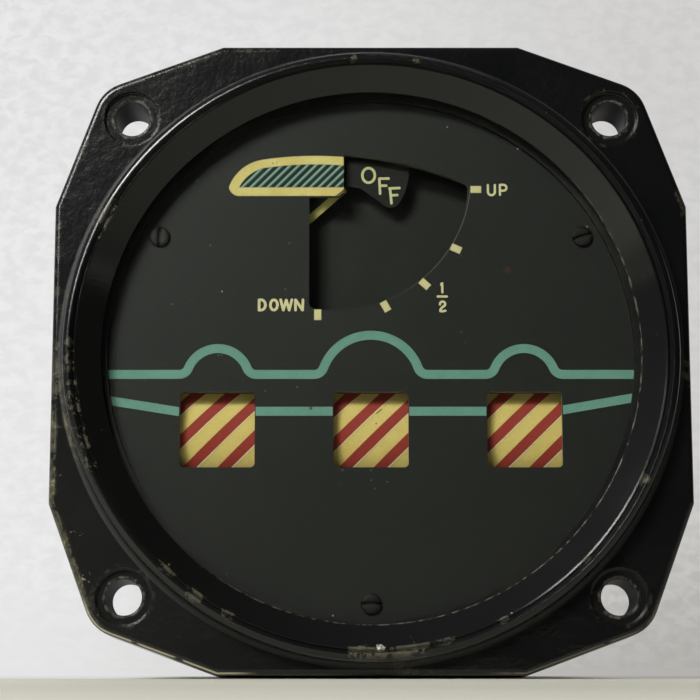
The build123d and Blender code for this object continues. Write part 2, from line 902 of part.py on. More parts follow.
def make_flap_shaft():
    return disc(flap_shaft_radius, pointer_back, flap_shaft_back, flap_pivot_x, flap_pivot_z)


def make_flap_bushes():
    bore = flap_shaft_radius + running_fit
    front_bush = tube(flap_bush_radius, bore, front_plate_front, front_plate_back,
                      flap_pivot_x, flap_pivot_z)
    rear_bush = tube(flap_bush_radius, bore, rear_plate_depth - flap_rear_bush_length,
                     rear_plate_depth, flap_pivot_x, flap_pivot_z)
    return group([front_bush, rear_bush])


def make_flap_magnet():
    front = flap_core_front + (flap_core_length - flap_magnet_length) / 2
    return tube(flap_magnet_radius, flap_shaft_radius + press_gap,
                front, front + flap_magnet_length, flap_pivot_x, flap_pivot_z)


def make_flap_stator_core():
    """A ring with three lugs that reach the wall of the receiver's case."""
    place = Pos(flap_pivot_x, flap_pivot_z)
    lug_length = flap_case_radius - flap_case_wall - flap_core_inner_radius
    lug_middle = flap_core_inner_radius + lug_length / 2
    ring = Circle(flap_core_outer_radius)
    for angle in (90, 210, 330):
        ring += Rot(0, 0, angle) * Pos(lug_middle, 0) * Rectangle(lug_length, flap_lug_width)
    ring &= Circle(flap_case_radius - flap_case_wall)
    ring -= Circle(flap_core_inner_radius)
    return slab(place * ring, flap_core_front, flap_core_front + flap_core_length)


def make_flap_stator_windings():
    """Three windings round the ring, one between each pair of lugs."""
    place = Pos(flap_pivot_x, flap_pivot_z)
    outer = flap_winding_radius
    inner = flap_core_inner_radius - flap_winding_thickness
    front = flap_core_front - flap_winding_thickness
    back = flap_core_front + flap_core_length + flap_winding_thickness
    channel = Circle(flap_core_outer_radius + coil_slack)
    channel -= Circle(flap_core_inner_radius - coil_slack)
    reach = 2 * outer
    edge_x = reach * cos(radians(flap_winding_half_span))
    edge_z = reach * sin(radians(flap_winding_half_span))
    wedge = polygon((0, 0), (edge_x, -edge_z), (reach, -edge_z), (reach, edge_z), (edge_x, edge_z))
    sector = (Circle(outer) - Circle(inner)) & wedge
    windings = []
    for angle in (30, 150, 270):
        winding = slab(place * Rot(0, 0, angle) * sector, front, back)
        winding -= slab(place * channel, flap_core_front - coil_slack,
                        flap_core_front + flap_core_length + coil_slack)
        windings.append(winding)
    return group(windings)


def make_flap_motor_case():
    """A cup with its open end to the front, held to the rear plate by three screws."""
    inner = flap_case_radius - flap_case_wall
    cup = disc(flap_case_radius, flap_case_front, rear_plate_depth, flap_pivot_x, flap_pivot_z)
    cup -= disc(inner, flap_case_front - 1, rear_plate_depth - flap_case_back,
                flap_pivot_x, flap_pivot_z)
    cup -= disc(flap_bush_radius, flap_case_front, rear_plate_depth + 1,
                flap_pivot_x, flap_pivot_z)
    for x, z in flap_screw_places():
        cup -= disc(screw_radius + screw_clearance, rear_plate_depth - 2 * flap_case_back,
                    rear_plate_depth + 1, x, z)
    return cup


def make_flap_motor_cap():
    return tube(flap_case_radius, flap_shaft_radius + flap_cap_gap,
                flap_case_front - flap_cap_thickness, flap_case_front,
                flap_pivot_x, flap_pivot_z)


def make_off_flag():
    """A sheet flag with a rounded lower tip, and the hub it turns on."""
    top = (flag_pivot_x, flag_pivot_z + flag_hub_radius)
    bottom = (flag_pivot_x, flag_pivot_z - flag_hub_radius)
    blade = make_face(Curve() + [
        Line(bottom, top),
        Line(top, flag_right_top),
        ThreePointArc(flag_right_top, flag_right_edge, flag_tip),
        Line(flag_tip, flag_elbow),
        Line(flag_elbow, bottom),
    ])
    for corner, radius in ((flag_tip, flag_tip_round), (flag_elbow, flag_elbow_round)):
        vertex = blade.vertices().sort_by_distance((corner[0], corner[1], 0))[0]
        blade = fillet(vertex, radius)
    blade += Pos(flag_pivot_x, flag_pivot_z) * Circle(flag_hub_radius)
    hub = tube(flag_hub_radius, flag_shaft_radius + press_gap,
               flag_back, flag_back + flag_hub_length, flag_pivot_x, flag_pivot_z)
    return slab(blade, flag_depth, flag_back) + hub


def make_off_flag_shaft():
    return disc(flag_shaft_radius, flag_back, flag_back + flag_shaft_length,
                flag_pivot_x, flag_pivot_z)


def make_off_flag_magnet():
    return tube(flag_magnet_radius, flag_shaft_radius + press_gap, flag_core_front,
                flag_core_front + flag_magnet_length, flag_pivot_x, flag_pivot_z)


def make_off_flag_core():
    """A U of iron with the magnet between the ends of its arms."""
    front = flag_core_front
    top = flag_pivot_z + flag_magnet_radius
    bottom = flag_pivot_z - flag_core_reach
    core = box(flag_pivot_x - flag_pole_outer, flag_pivot_x + flag_pole_outer,
               front, flag_bracket_depth, bottom, top)
    return core - box(flag_pivot_x - flag_pole_inner, flag_pivot_x + flag_pole_inner,
                      front - 1, flag_bracket_depth + 1, bottom + flag_core_back, top + 1)


def make_off_flag_coil():
    front = flag_core_front - coil_slack
    back = flag_bracket_depth + coil_slack
    left = flag_pivot_x - flag_pole_outer - coil_slack
    right = flag_pivot_x - flag_pole_inner + coil_slack
    high = flag_pivot_z - flag_coil_offset
    low = high - flag_coil_length
    coil = box(left - flag_coil_wall, right + flag_coil_wall,
               front - flag_coil_wall, back + flag_coil_wall, low, high)
    return coil - box(left, right, front, back, low - 1, high + 1)


def make_off_flag_bracket():
    """Folded sheet: a foot on the front plate, a riser and a web behind the magnet."""
    low = flag_pivot_z - flag_bracket_half_height
    high = flag_pivot_z + flag_bracket_half_height
    web_back = flag_bracket_depth + sheet
    bracket = box(flag_riser_left, flag_pivot_x + flag_bracket_right,
                  flag_bracket_depth, web_back, low, high)
    bracket += box(flag_riser_left, flag_riser_left + sheet,
                   front_plate_back, web_back, low, high)
    bracket += box(flag_riser_left - flag_bracket_foot, flag_riser_left,
                   front_plate_back, front_plate_back + sheet, low, high)
    for x, z in flag_foot_places():
        bracket -= disc(screw_radius + screw_clearance,
                        front_plate_back - 1, front_plate_back + sheet + 1, x, z)
    return bracket - disc(flag_rear_bush_radius(), flag_bracket_depth - 1, web_back + 1,
                          flag_pivot_x, flag_pivot_z)


def flag_rear_bush_radius():
    return flag_shaft_radius + running_fit + bush_wall


def make_off_flag_bushes():
    bore = flag_shaft_radius + running_fit
    front_bush = tube(flag_bush_radius, bore, front_plate_front, front_plate_back,
                      flag_pivot_x, flag_pivot_z)
    rear_bush = tube(flag_rear_bush_radius(), bore, flag_bracket_depth,
                     flag_bracket_depth + sheet, flag_pivot_x, flag_pivot_z)
    return group([front_bush, rear_bush])


def pin_places():
    outer = [360 * index / outer_pin_count for index in range(outer_pin_count)]
    inner = [360 * index / inner_pin_count for index in range(inner_pin_count)]
    places = on_circle(outer_pin_circle_radius, outer)
    return places + on_circle(inner_pin_circle_radius, inner)


def make_connector_shell():
    """Square flange, round mating shell with a keyway, and a tail inside the case."""
    mouth = connector_flange_back + connector_shell_length
    plate = RectangleRounded(connector_flange, connector_flange, connector_flange_corner)
    shell = slab(plate, connector_flange_front, connector_flange_back)
    shell += disc(connector_shell_radius, connector_flange_back, mouth)
    shell += disc(connector_tail_radius, connector_flange_front - connector_tail_length,
                  connector_flange_front)
    shell -= disc(connector_tail_bore, case_inner_back - connector_tail_length, mouth)
    shell -= disc(connector_shell_bore, connector_flange_back, mouth + 1)
    shell -= box(-connector_key_width / 2, connector_key_width / 2,
                 connector_insert_back, mouth + 1,
                 0, connector_shell_bore + connector_key_depth)
    for x, z in connector_bolt_places():
        shell -= disc(connector_screw_radius + screw_clearance,
                      connector_flange_front - 1, connector_flange_back + 1, x, z)
    return shell


def make_connector_insert():
    insert = disc(connector_tail_bore - press_gap, connector_insert_front, connector_insert_back)
    for x, z in pin_places():
        insert -= disc(pin_radius + press_gap,
                       connector_insert_front - 1, connector_insert_back + 1, x, z)
    return insert


def make_connector_pins():
    return group(disc(pin_radius, connector_insert_front - pin_tail_length,
                      connector_insert_back + pin_front_length, x, z)
                 for x, z in pin_places())


def make_connector_screw(x, z):
    head_back = connector_flange_back + connector_screw_head_height
    screw = disc(connector_screw_head_radius, connector_flange_back, head_back, x, z)
    slot = Pos(x, z) * Rectangle(3 * connector_screw_head_radius, connector_screw_head_height / 2)
    screw -= slab(slot, head_back - connector_screw_head_height / 2, head_back + 1)
    return screw + disc(connector_screw_radius, connector_flange_back - connector_screw_length,
                        connector_flange_back, x, z)


def make_connector_screws():
    return group(make_connector_screw(x, z) for x, z in connector_bolt_places())


def make_connector_gasket():
    sheet_outline = RectangleRounded(
        connector_flange, connector_flange, connector_flange_corner)
    sheet_outline -= Circle(connector_hole_radius)
    for x, z in connector_bolt_places():
        sheet_outline -= Pos(x, z) * Circle(connector_screw_radius + screw_clearance)
    return slab(sheet_outline, case_depth, connector_flange_front)


nodes = {
    "case": make_case(),
    "retaining_ring": make_retaining_ring(),
    "cover_glass": make_cover_glass(),
    "glass_gasket": make_glass_gasket(),
    "dial_spacer_ring": make_dial_spacer_ring(),
    "dial_plate": make_dial_plate(),
    "dial_green_marks": make_dial_green_marks(),
    "dial_cream_marks": make_dial_cream_marks(),
    "dial_screws": make_dial_screws(),
    "dial_posts": make_dial_posts(),
    "front_plate": make_front_plate(),
    "rear_plate": make_rear_plate(),
    "front_pillars": group(make_front_pillar(x, z) for x, z in screw_places()),
    "rear_pillars": group(make_rear_pillar(x, z) for x, z in screw_places()),
    "case_screws": group(make_case_screw(x, z) for x, z in screw_places()),
    "drum_frame": make_drum_frame(),
    "drum_bushes": make_drum_bushes(),
    "mechanism_screws": make_mechanism_screws(),
    "flap_pointer": make_flap_pointer(),
    "flap_pointer_marks": make_flap_pointer_marks(),
    "flap_shaft": make_flap_shaft(),
    "flap_magnet": make_flap_magnet(),
    "flap_bushes": make_flap_bushes(),
    "flap_stator_core": make_flap_stator_core(),
    "flap_stator_windings": make_flap_stator_windings(),
    "flap_motor_case": make_flap_motor_case(),
    "flap_motor_cap": make_flap_motor_cap(),
    "off_flag": make_off_flag(),
    "off_flag_shaft": make_off_flag_shaft(),
    "off_flag_magnet": make_off_flag_magnet(),
    "off_flag_core": make_off_flag_core(),
    "off_flag_coil": make_off_flag_coil(),
    "off_flag_bracket": make_off_flag_bracket(),
    "off_flag_bushes": make_off_flag_bushes(),
    "connector_shell": make_connector_shell(),
    "connector_insert": make_connector_insert(),
    "connector_pins": make_connector_pins(),
    "connector_screws": make_connector_screws(),
    "connector_gasket": make_connector_gasket(),
}
for side, x in wheel_centres.items():
    nodes[side + "_drum"] = make_drum(x)
    nodes[side + "_drum_stripes"] = make_drum_stripes(x, stripe_phases[side])
    nodes[side + "_drum_shaft"] = make_drum_shaft(x)
    nodes[side + "_drum_magnet"] = make_drum_magnet(x)
    nodes[side + "_drum_core"] = make_drum_core(x)
    nodes[side + "_drum_coils"] = make_drum_coils(x)

os.makedirs("parts", exist_ok=True)
for name, shape in nodes.items():
    export_step(shape, os.path.join("parts", name + ".step"))
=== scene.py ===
"""Looks of the wheel and flap position indicator: camera, light, materials, words and signs."""

from math import cos, hypot, pi, radians, sin

import bpy
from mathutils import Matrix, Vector


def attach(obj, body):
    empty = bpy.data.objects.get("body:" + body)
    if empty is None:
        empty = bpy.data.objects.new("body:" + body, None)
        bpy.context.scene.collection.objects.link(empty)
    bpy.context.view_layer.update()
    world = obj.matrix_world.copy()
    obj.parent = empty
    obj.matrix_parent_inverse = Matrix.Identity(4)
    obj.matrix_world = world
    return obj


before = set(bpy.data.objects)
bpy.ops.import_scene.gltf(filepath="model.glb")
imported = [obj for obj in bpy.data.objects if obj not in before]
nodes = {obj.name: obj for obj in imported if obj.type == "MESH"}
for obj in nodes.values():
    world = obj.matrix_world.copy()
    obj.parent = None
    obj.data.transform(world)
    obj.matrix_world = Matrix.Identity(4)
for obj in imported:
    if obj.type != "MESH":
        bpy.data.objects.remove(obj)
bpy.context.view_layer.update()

MM = 0.001

# Places and sizes on the part, in mm on the axes of the frame.
HOLE_HALF = 31.43  # half of the spacing of the mounting holes
HOLE_RADIUS = 2.3
SPOT_FACE_RADIUS = 3.6
SPOT_FACE_FLOOR = 0.6
RIM_FOOT_RADIUS = 40.0
RING_LIP_RADIUS = 34.92
DIAL_FRONT = 2.8
MARKS_FRONT = 2.72
FLAG_FRONT = 4.25
POINTER_FRONT = 5.11
POINTER_PIVOT = (-6.95, 22.45)
SCALE_ARC = (-4.78, 24.21, 17.98)  # middle and radius of the window's round edge
HATCH_FOOT = (-3.47, 22.75)
HATCH_STEP = 0.7948
HATCH_HALF = 0.1947
POINTER_HATCH_STEP = 1.124
DRUM_Y = 15.7
DRUM_Z = -9.58
DRUM_RADIUS = 11.5
STRIPE_PERIOD = 4.46
STRIPE_HALF = 0.225  # half of a stripe, as a share of the period

# Angles in degrees.
POINTER_PARK = -132.8
STRIPE_SLOPE = 44.5
FACE_TURN = 53.0
FACE_HALF = 26.5

# Middle of each drum across, and where its first stripe starts round it.
WHEELS = {"left": (-19.95, -1.15), "centre": (0.0, -1.54), "right": (19.95, -1.85)}

# The camera that was fitted to the photo.
CAMERA_LENS = 116.3
CAMERA_PLACE = (-2.57, -287.39, -52.16)
CAMERA_PITCH = 10.36
CAMERA_ROLL = 0.03

# The part stands on the flange's lower edge and the barrel's lower back edge.
FLANGE_HALF = 41.275
FLANGE_BACK = 9.5
BARREL_RADIUS = 39.2
BARREL_BACK = 58.0
FLOOR_SLOPE = (FLANGE_HALF - BARREL_RADIUS) / (BARREL_BACK - FLANGE_BACK)
FLOOR_Z = -41.3  # height of the floor below the flange's back
TABLE_END = 62.0
EYE_BACK = 287.0  # from the camera to the plane of the flange
WALL_Y = 900.0
WALL_HALF = 190.0  # half of the wall's width in the picture
WALL_FOOT = -60.0
STAGE_REACH = 1500.0


def srgb(red, green, blue):
    """A colour read as 0 to 255, in linear light."""
    parts = []
    for part in (red, green, blue):
        part = part / 255
        parts.append(part / 12.92 if part <= 0.04045 else ((part + 0.055) / 1.055) ** 2.4)
    return (*parts, 1.0)


# ---------------------------------------------------------------- camera

camera_data = bpy.data.cameras.new("camera")
camera_data.sensor_width = 36.0
camera_data.lens = CAMERA_LENS
camera_data.clip_start = 0.01
camera_data.clip_end = 20.0
camera = bpy.data.objects.new("camera", camera_data)
camera.location = [part * MM for part in CAMERA_PLACE]
camera.rotation_euler = (radians(90 + CAMERA_PITCH), 0, radians(CAMERA_ROLL))
bpy.context.scene.collection.objects.link(camera)
bpy.context.scene.camera = camera
bpy.context.scene.view_settings.view_transform = "Standard"


# ---------------------------------------------------------------- nodes

class Nodes:
    """A node tree, emptied, and short calls that add nodes to it."""

    def __init__(self, tree):
        self.tree = tree
        self.tree.nodes.clear()

    def add(self, kind, operation=None):
        node = self.tree.nodes.new(kind)
        if operation:
            node.operation = operation
        return node

    def wire(self, value, socket):
        """Links a socket to another node's output, or sets it to a plain value."""
        if isinstance(value, bpy.types.NodeSocket):
            self.tree.links.new(value, socket)
        elif value is not None:
            socket.default_value = value

    def vector(self, operation, first, second=None, scale=None):
        node = self.add("ShaderNodeVectorMath", operation)
        self.wire(first, node.inputs[0])
        self.wire(second, node.inputs[1])
        if scale is not None:
            node.inputs["Scale"].default_value = scale
        name = "Value" if operation in ("DISTANCE", "DOT_PRODUCT", "LENGTH") else "Vector"
        return node.outputs[name]

    def math(self, operation, first, second=None, third=None):
        node = self.add("ShaderNodeMath", operation)
        for value, socket in zip((first, second, third), node.inputs):
            self.wire(value, socket)
        return node.outputs[0]

    def chain(self, operation, values):
        """One operation from the first value through to the last."""
        result = values[0]
        for value in values[1:]:
            result = self.math(operation, result, value)
        return result

    def total(self, *values):
        return self.chain("ADD", values)

    def times(self, *values):
        return self.chain("MULTIPLY", values)

    def least(self, *values):
        return self.chain("MINIMUM", values)

    def most(self, *values):
        return self.chain("MAXIMUM", values)

    def minus(self, first, second):
        return self.math("SUBTRACT", first, second)

    def less(self, value, share):
        """1, lowered by a share of the value."""
        return self.math("MULTIPLY_ADD", value, -share, 1.0)

    def size(self, value):
        return self.math("ABSOLUTE", value)

    def off(self, value, middle):
        """How far a value is from a middle one, either way."""
        return self.size(self.minus(value, middle))

    def length(self, first, second):
        """Length of a flat vector of two parts."""
        squares = self.total(self.times(first, first), self.times(second, second))
        return self.math("SQRT", squares)

    def step(self, value, low, high, start=0.0, end=1.0):
        """A smooth step of value from low to high."""
        node = self.add("ShaderNodeMapRange")
        node.interpolation_type = "SMOOTHSTEP"
        for number, socket in zip((value, low, high, start, end), node.inputs):
            self.wire(number, socket)
        return node.outputs[0]

    def mix(self, share, first, second):
        """The first colour at share 0, the second at share 1."""
        node = self.add("ShaderNodeMix")
        node.data_type = "RGBA"
        self.wire(share, node.inputs[0])
        self.wire(first, node.inputs[6])
        self.wire(second, node.inputs[7])
        return node.outputs[2]


class Graph(Nodes):
    """A material with one main shader, and calls for its patterns on the object in mm."""

    def __init__(self, name):
        self.material = bpy.data.materials.new(name)
        self.material.use_nodes = True
        super().__init__(self.material.node_tree)
        self.output = self.add("ShaderNodeOutputMaterial")
        self.shader = self.add("ShaderNodeBsdfPrincipled")
        self.wire(self.shader.outputs[0], self.output.inputs["Surface"])
        place = self.add("ShaderNodeTexCoord").outputs["Object"]
        self.mm = self.vector("SCALE", place, scale=1000.0)
        axes = self.add("ShaderNodeSeparateXYZ")
        self.wire(self.mm, axes.inputs[0])
        self.x, self.y, self.z = axes.outputs

    def noise(self, size, detail=2.0, rough=0.5, twist=0.0, stretch=None, shift=0.0):
        """Noise from 0 to 1 whose features are about size mm across."""
        place = self.mm
        if stretch is not None:
            place = self.vector("MULTIPLY", place, stretch)
        if shift:
            place = self.vector("ADD", place, (shift, shift * 1.7, shift * 0.6))
        node = self.add("ShaderNodeTexNoise")
        self.wire(place, node.inputs["Vector"])
        node.inputs["Scale"].default_value = 1.0 / size
        node.inputs["Detail"].default_value = detail
        node.inputs["Roughness"].default_value = rough
        node.inputs["Distortion"].default_value = twist
        return node.outputs["Fac"]

    def cells(self, size, shift=0.0):
        """Distance to scattered points about size mm apart, in units of size."""
        node = self.add("ShaderNodeTexVoronoi")
        place = self.vector("ADD", self.mm, (shift, shift * 1.3, shift * 0.7))
        self.wire(place, node.inputs["Vector"])
        node.inputs["Scale"].default_value = 1.0 / size
        return node.outputs["Distance"]

    def away(self, x, y, z):
        """Distance in mm to a point of the object."""
        return self.vector("DISTANCE", self.mm, (x, y, z))

    def from_axis(self):
        """Distance in mm to the middle axis of the dial."""
        return self.length(self.x, self.z)

    def dots(self, spots, y):
        """1 on each spot (x, z, radius in mm) of the plane at y."""
        return self.most(0.0, *[self.step(self.away(x, y, z), radius, radius * 0.4)
                                for x, z, radius in spots])

    def facing(self):
        """The Y part of the surface's direction: -1 where it faces the viewer of the dial."""
        parts = self.add("ShaderNodeSeparateXYZ")
        self.wire(self.add("ShaderNodeNewGeometry").outputs["Normal"], parts.inputs[0])
        return parts.outputs[1]

    def edges(self, radius):
        """How sharply the surface turns within radius mm: 0 on a flat, about 0.3 on an edge."""
        bevel = self.add("ShaderNodeBevel")
        bevel.samples = 6
        bevel.inputs["Radius"].default_value = radius * MM
        normal = self.add("ShaderNodeNewGeometry").outputs["Normal"]
        return self.minus(1.0, self.vector("DOT_PRODUCT", bevel.outputs[0], normal))

    def soft_normal(self, radius):
        """The normal with edges rounded off over radius metres."""
        bevel = self.add("ShaderNodeBevel")
        bevel.samples = 6
        self.wire(radius, bevel.inputs["Radius"])
        return bevel.outputs[0]

    def bump(self, height, depth, normal=None):
        """Bump of height 0 to 1 over depth mm."""
        node = self.add("ShaderNodeBump")
        node.inputs["Strength"].default_value = 1.0
        node.inputs["Distance"].default_value = depth * MM
        self.wire(height, node.inputs["Height"])
        self.wire(normal, node.inputs["Normal"])
        return node.outputs[0]

    def finish(self, colour, roughness, normal=None, metallic=0.0, specular=0.2):
        """Sets up the main shader and gives the material."""
        self.wire(colour, self.shader.inputs["Base Color"])
        self.wire(roughness, self.shader.inputs["Roughness"])
        self.wire(metallic, self.shader.inputs["Metallic"])
        self.wire(normal, self.shader.inputs["Normal"])
        self.shader.inputs["Specular IOR Level"].default_value = specular
        return self.material


# ---------------------------------------------------------------- black paint and its wear

# Where paint has flaked off the case and the ring: x, y, z and reach in mm, and strength.
FLAKED = [
    (-41.2, 0.3, -10.5, 4.5, 1.1), (-41.2, 0.3, -3.0, 5.0, 0.85), (-40.8, 0.2, -17.5, 3.0, 1.3),
    (-39.0, 0.1, -24.0, 4.5, 1.5), (-37.2, 0.1, -29.5, 3.5, 1.4), (-35.6, 0.2, -33.5, 3.0, 1.3),
    (-41.2, 0.3, 8.0, 4.0, 0.5), (-40.6, 0.2, 16.0, 4.0, 0.55), (-38.4, 0.1, 26.5, 4.5, 0.8),
    (-23.3, 0.0, 38.6, 4.0, 0.85), (-15.8, 0.2, 40.7, 3.5, 0.8), (-31.0, 0.1, 37.0, 4.0, 0.6),
    (-27.4, 0.0, -34.7, 0.9, 1.25), (-32.1, 0.0, -27.5, 1.6, 0.85), (27.4, -0.8, 28.4, 1.6, 1.15),
    (29.0, -0.6, 26.8, 1.0, 1.1), (41.0, 0.2, 19.5, 3.0, 0.6), (41.2, 0.3, -2.6, 2.0, 0.6),
    (5.0, 0.3, -41.2, 3.0, 0.55), (-38.7, -2.6, 1.0, 0.75, 1.1), (-38.2, -2.4, -6.5, 3.0, 0.2),
    (-36.5, -2.4, -12.5, 3.5, 0.22), (-25.4, -2.3, -27.5, 1.6, 1.3),
    (-22.0, -2.3, -31.2, 1.6, 1.15), (-17.8, -2.3, -33.5, 1.2, 1.1), (-0.6, -2.3, -37.8, 3.0, 1.35),
    (4.4, -2.3, -37.7, 3.0, 1.35), (9.0, -2.3, -36.4, 1.6, 1.1), (-2.5, -2.8, 38.6, 0.8, 0.8),
    (16.3, -2.3, -34.3, 1.0, 1.15), (6.0, -2.8, 38.4, 0.6, 0.6), (-34.6, -2.6, 17.5, 3.0, 0.6),
    (34.5, -2.4, -16.6, 1.0, 1.4), (26.8, -2.4, -26.6, 0.9, 1.4),
]
# Where bare metal shows: x, y, z and reach in mm.
BARE = [(1.1, -2.3, -37.8, 0.5), (25.7, -0.8, 30.2, 0.45), (17.5, -2.3, -33.5, 0.25),
        (8.8, -2.3, -36.2, 0.2)]
BLACK_GLOSS = 0.42


def flaked(g, edge):
    """Gives ragged flakes near edges inside the zones above, and the bare metal in them."""
    near = [g.math("MULTIPLY_ADD", g.away(x, y, z), -strength / reach, strength)
            for x, y, z, reach, strength in FLAKED]
    zone = g.most(0.0, *near)
    crumbs = g.times(g.noise(0.3, 2.0, 0.6, shift=27.0), 0.3)
    ragged = g.total(g.noise(1.3, 5.0, 0.72, 0.5, shift=3.0), crumbs, -0.15)
    worn = g.times(g.step(edge, 0.004, 0.05), 0.25)
    score = g.total(ragged, g.times(g.least(zone, 0.8), 0.22), worn)
    lost = g.times(g.step(score, 0.8, 0.815), g.step(zone, 0.0, 0.05))
    bare = [g.math("DIVIDE", g.away(x, y, z), reach) for x, y, z, reach in BARE]
    torn = g.math("MULTIPLY_ADD", ragged, 4.0, -2.0)
    return lost, g.step(g.total(g.least(*bare), torn), 1.05, 0.8)


def worn_black(g, colour, edge):
    """Flakes a black paint. Gives the colour, the lost paint and the bare metal."""
    lost, bare = flaked(g, edge)
    primer = g.mix(g.noise(0.7, 3.0, shift=31.0), srgb(66, 62, 49), srgb(112, 107, 85))
    # Painted highlight: the primer is painted paler at the far lower left of the flange, where its
    # edge is lit.
    far_left_highlight = g.times(g.step(g.x, -33.0, -36.0), g.step(g.z, 0.0, -8.0), g.step(g.y, -1.2, -0.8))
    primer = g.mix(g.times(far_left_highlight, 0.8), primer, srgb(142, 137, 106))
    streaks = g.step(g.noise(0.3, 3.0, 0.7, shift=37.0), 0.4, 0.62)
    metal = g.mix(streaks, srgb(112, 106, 90), srgb(224, 222, 214))
    colour = g.mix(lost, colour, primer)
    return g.mix(bare, colour, metal), g.most(lost, bare), bare


def pale_low_edge_highlight(g, from_hole):
    """A broken pale line, a painted highlight, on the rounded edge of the flange's two lower
    corners.
    """
    facing = g.facing()
    line = g.times(g.step(facing, -0.93, -0.84), g.step(facing, -0.55, -0.66))
    line = g.times(line, g.step(g.z, -30.0, -34.5), g.step(g.size(g.x), 14.0, 18.0))
    line = g.times(line, g.step(g.from_axis(), RIM_FOOT_RADIUS + 1.5, RIM_FOOT_RADIUS + 2.5),
                   g.step(from_hole, 4.4, 4.8), g.step(g.x, -10.0, 10.0, 0.85, 0.22))
    return g.times(line, g.step(g.noise(3.0, 3.0, 0.6, shift=43.0), 0.32, 0.46))


def case_material():
    """Glossy black paint on a lumpy casting, rubbed at its edges and flaked to primer."""
    g = Graph("case_paint")
    lumps = g.noise(1.9, 3.0, 0.6, 0.2)
    grain = g.noise(0.6, 3.0, 0.6)
    patches = g.noise(9.0, 2.0, 0.5, shift=7.0)
    fine = g.noise(0.3, 3.0, 0.7, shift=11.0)
    band = g.step(g.edges(0.9), 0.004, 0.05)
    rim = g.step(g.y, -0.7, -1.2)
    foot = g.times(g.step(g.off(g.from_axis(), RIM_FOOT_RADIUS), 0.6, 0.3), g.step(g.y, -1.0, -0.7))
    low_left_sheen = g.times(g.step(g.x, -5.0, -30.0), g.step(g.z, 5.0, -20.0))
    lit_side = g.step(g.minus(g.z, g.x), -20.0, 40.0)

    # The mounting holes have smooth bores, and rubbed rings where screws were tightened.
    from_hole = g.length(g.minus(g.size(g.x), HOLE_HALF), g.minus(g.size(g.z), HOLE_HALF))
    bore = g.step(from_hole, HOLE_RADIUS + 0.12, HOLE_RADIUS + 0.06)
    from_hole = g.total(from_hole, g.times(g.noise(1.2, 3.0, 0.6, shift=41.0), 0.7), -0.35)
    outer_ring = g.step(g.off(from_hole, SPOT_FACE_RADIUS + 0.25), 0.4, 0.1)
    inner_ring = g.step(g.off(from_hole, HOLE_RADIUS + 0.15), 0.36, 0.1)
    outer_worn = g.times(outer_ring, g.step(g.noise(1.6, 4.0, 0.65, shift=5.0), 0.52, 0.64))
    inner_worn = g.times(inner_ring, g.step(g.noise(0.9, 4.0, 0.65, shift=19.0), 0.42, 0.64),
                         g.step(g.y, SPOT_FACE_FLOOR + 0.5, SPOT_FACE_FLOOR + 0.2))
    spot_face = g.step(from_hole, SPOT_FACE_RADIUS, SPOT_FACE_RADIUS - 0.2)

    # Pale specks near the edges: partly rubbed paint, partly painted glints, with more of them on
    # the lit upper left.
    sparse = g.math("MULTIPLY_ADD", lit_side, -0.05, 0.69)
    specks = g.times(band, g.minus(1.0, bore), g.step(fine, sparse, 0.74))
    black = g.mix(patches, srgb(9, 10, 11), srgb(14, 14, 14))
    # Painted sheen: the black is painted paler towards the flange's lower left.
    black = g.mix(g.times(low_left_sheen, 0.7), black, srgb(29, 29, 28))
    black = g.mix(g.times(spot_face, 0.5), black, srgb(24, 24, 22))
    colour = g.mix(g.times(outer_worn, 0.45), black, srgb(62, 57, 44))
    colour = g.mix(g.times(inner_worn, 0.6), colour, srgb(110, 110, 100))
    colour = g.mix(g.times(specks, 0.7), colour, srgb(150, 143, 120))
    # Painted highlight along the rounded edge of the lower corners, stronger on the left.
    colour = g.mix(pale_low_edge_highlight(g, from_hole), colour, srgb(184, 177, 150))
    # Painted shade: the bores of the holes are coloured the darkest black.
    colour = g.mix(bore, colour, srgb(9, 9, 9))
    off_holes = g.step(from_hole, SPOT_FACE_RADIUS + 0.2, SPOT_FACE_RADIUS + 1.2)
    colour, lost, bare = worn_black(g, colour, g.times(g.edges(1.3), off_holes))

    rough = g.total(g.times(grain, 0.1), g.times(patches, 0.08), 0.1,
                    g.times(g.most(lost, specks), 0.3))
    rough = g.total(rough, g.times(bore, 0.35), g.times(foot, 0.34))
    uneven = g.total(lumps, g.times(grain, 0.25), g.times(fine, band, 0.35), g.times(lost, -0.6))
    rise = g.times(g.less(rim, 0.55), g.less(bore, 0.9))
    height = g.times(uneven, rise, g.step(g.total(patches, band), 0.35, 0.6, 0.45, 1.0))
    rounding = g.math("MULTIPLY_ADD", g.most(rim, bore), -0.25 * MM, 0.33 * MM)
    normal = g.bump(height, 0.064, g.soft_normal(rounding))
    return g.finish(colour, rough, normal, g.times(bare, 0.9), BLACK_GLOSS)


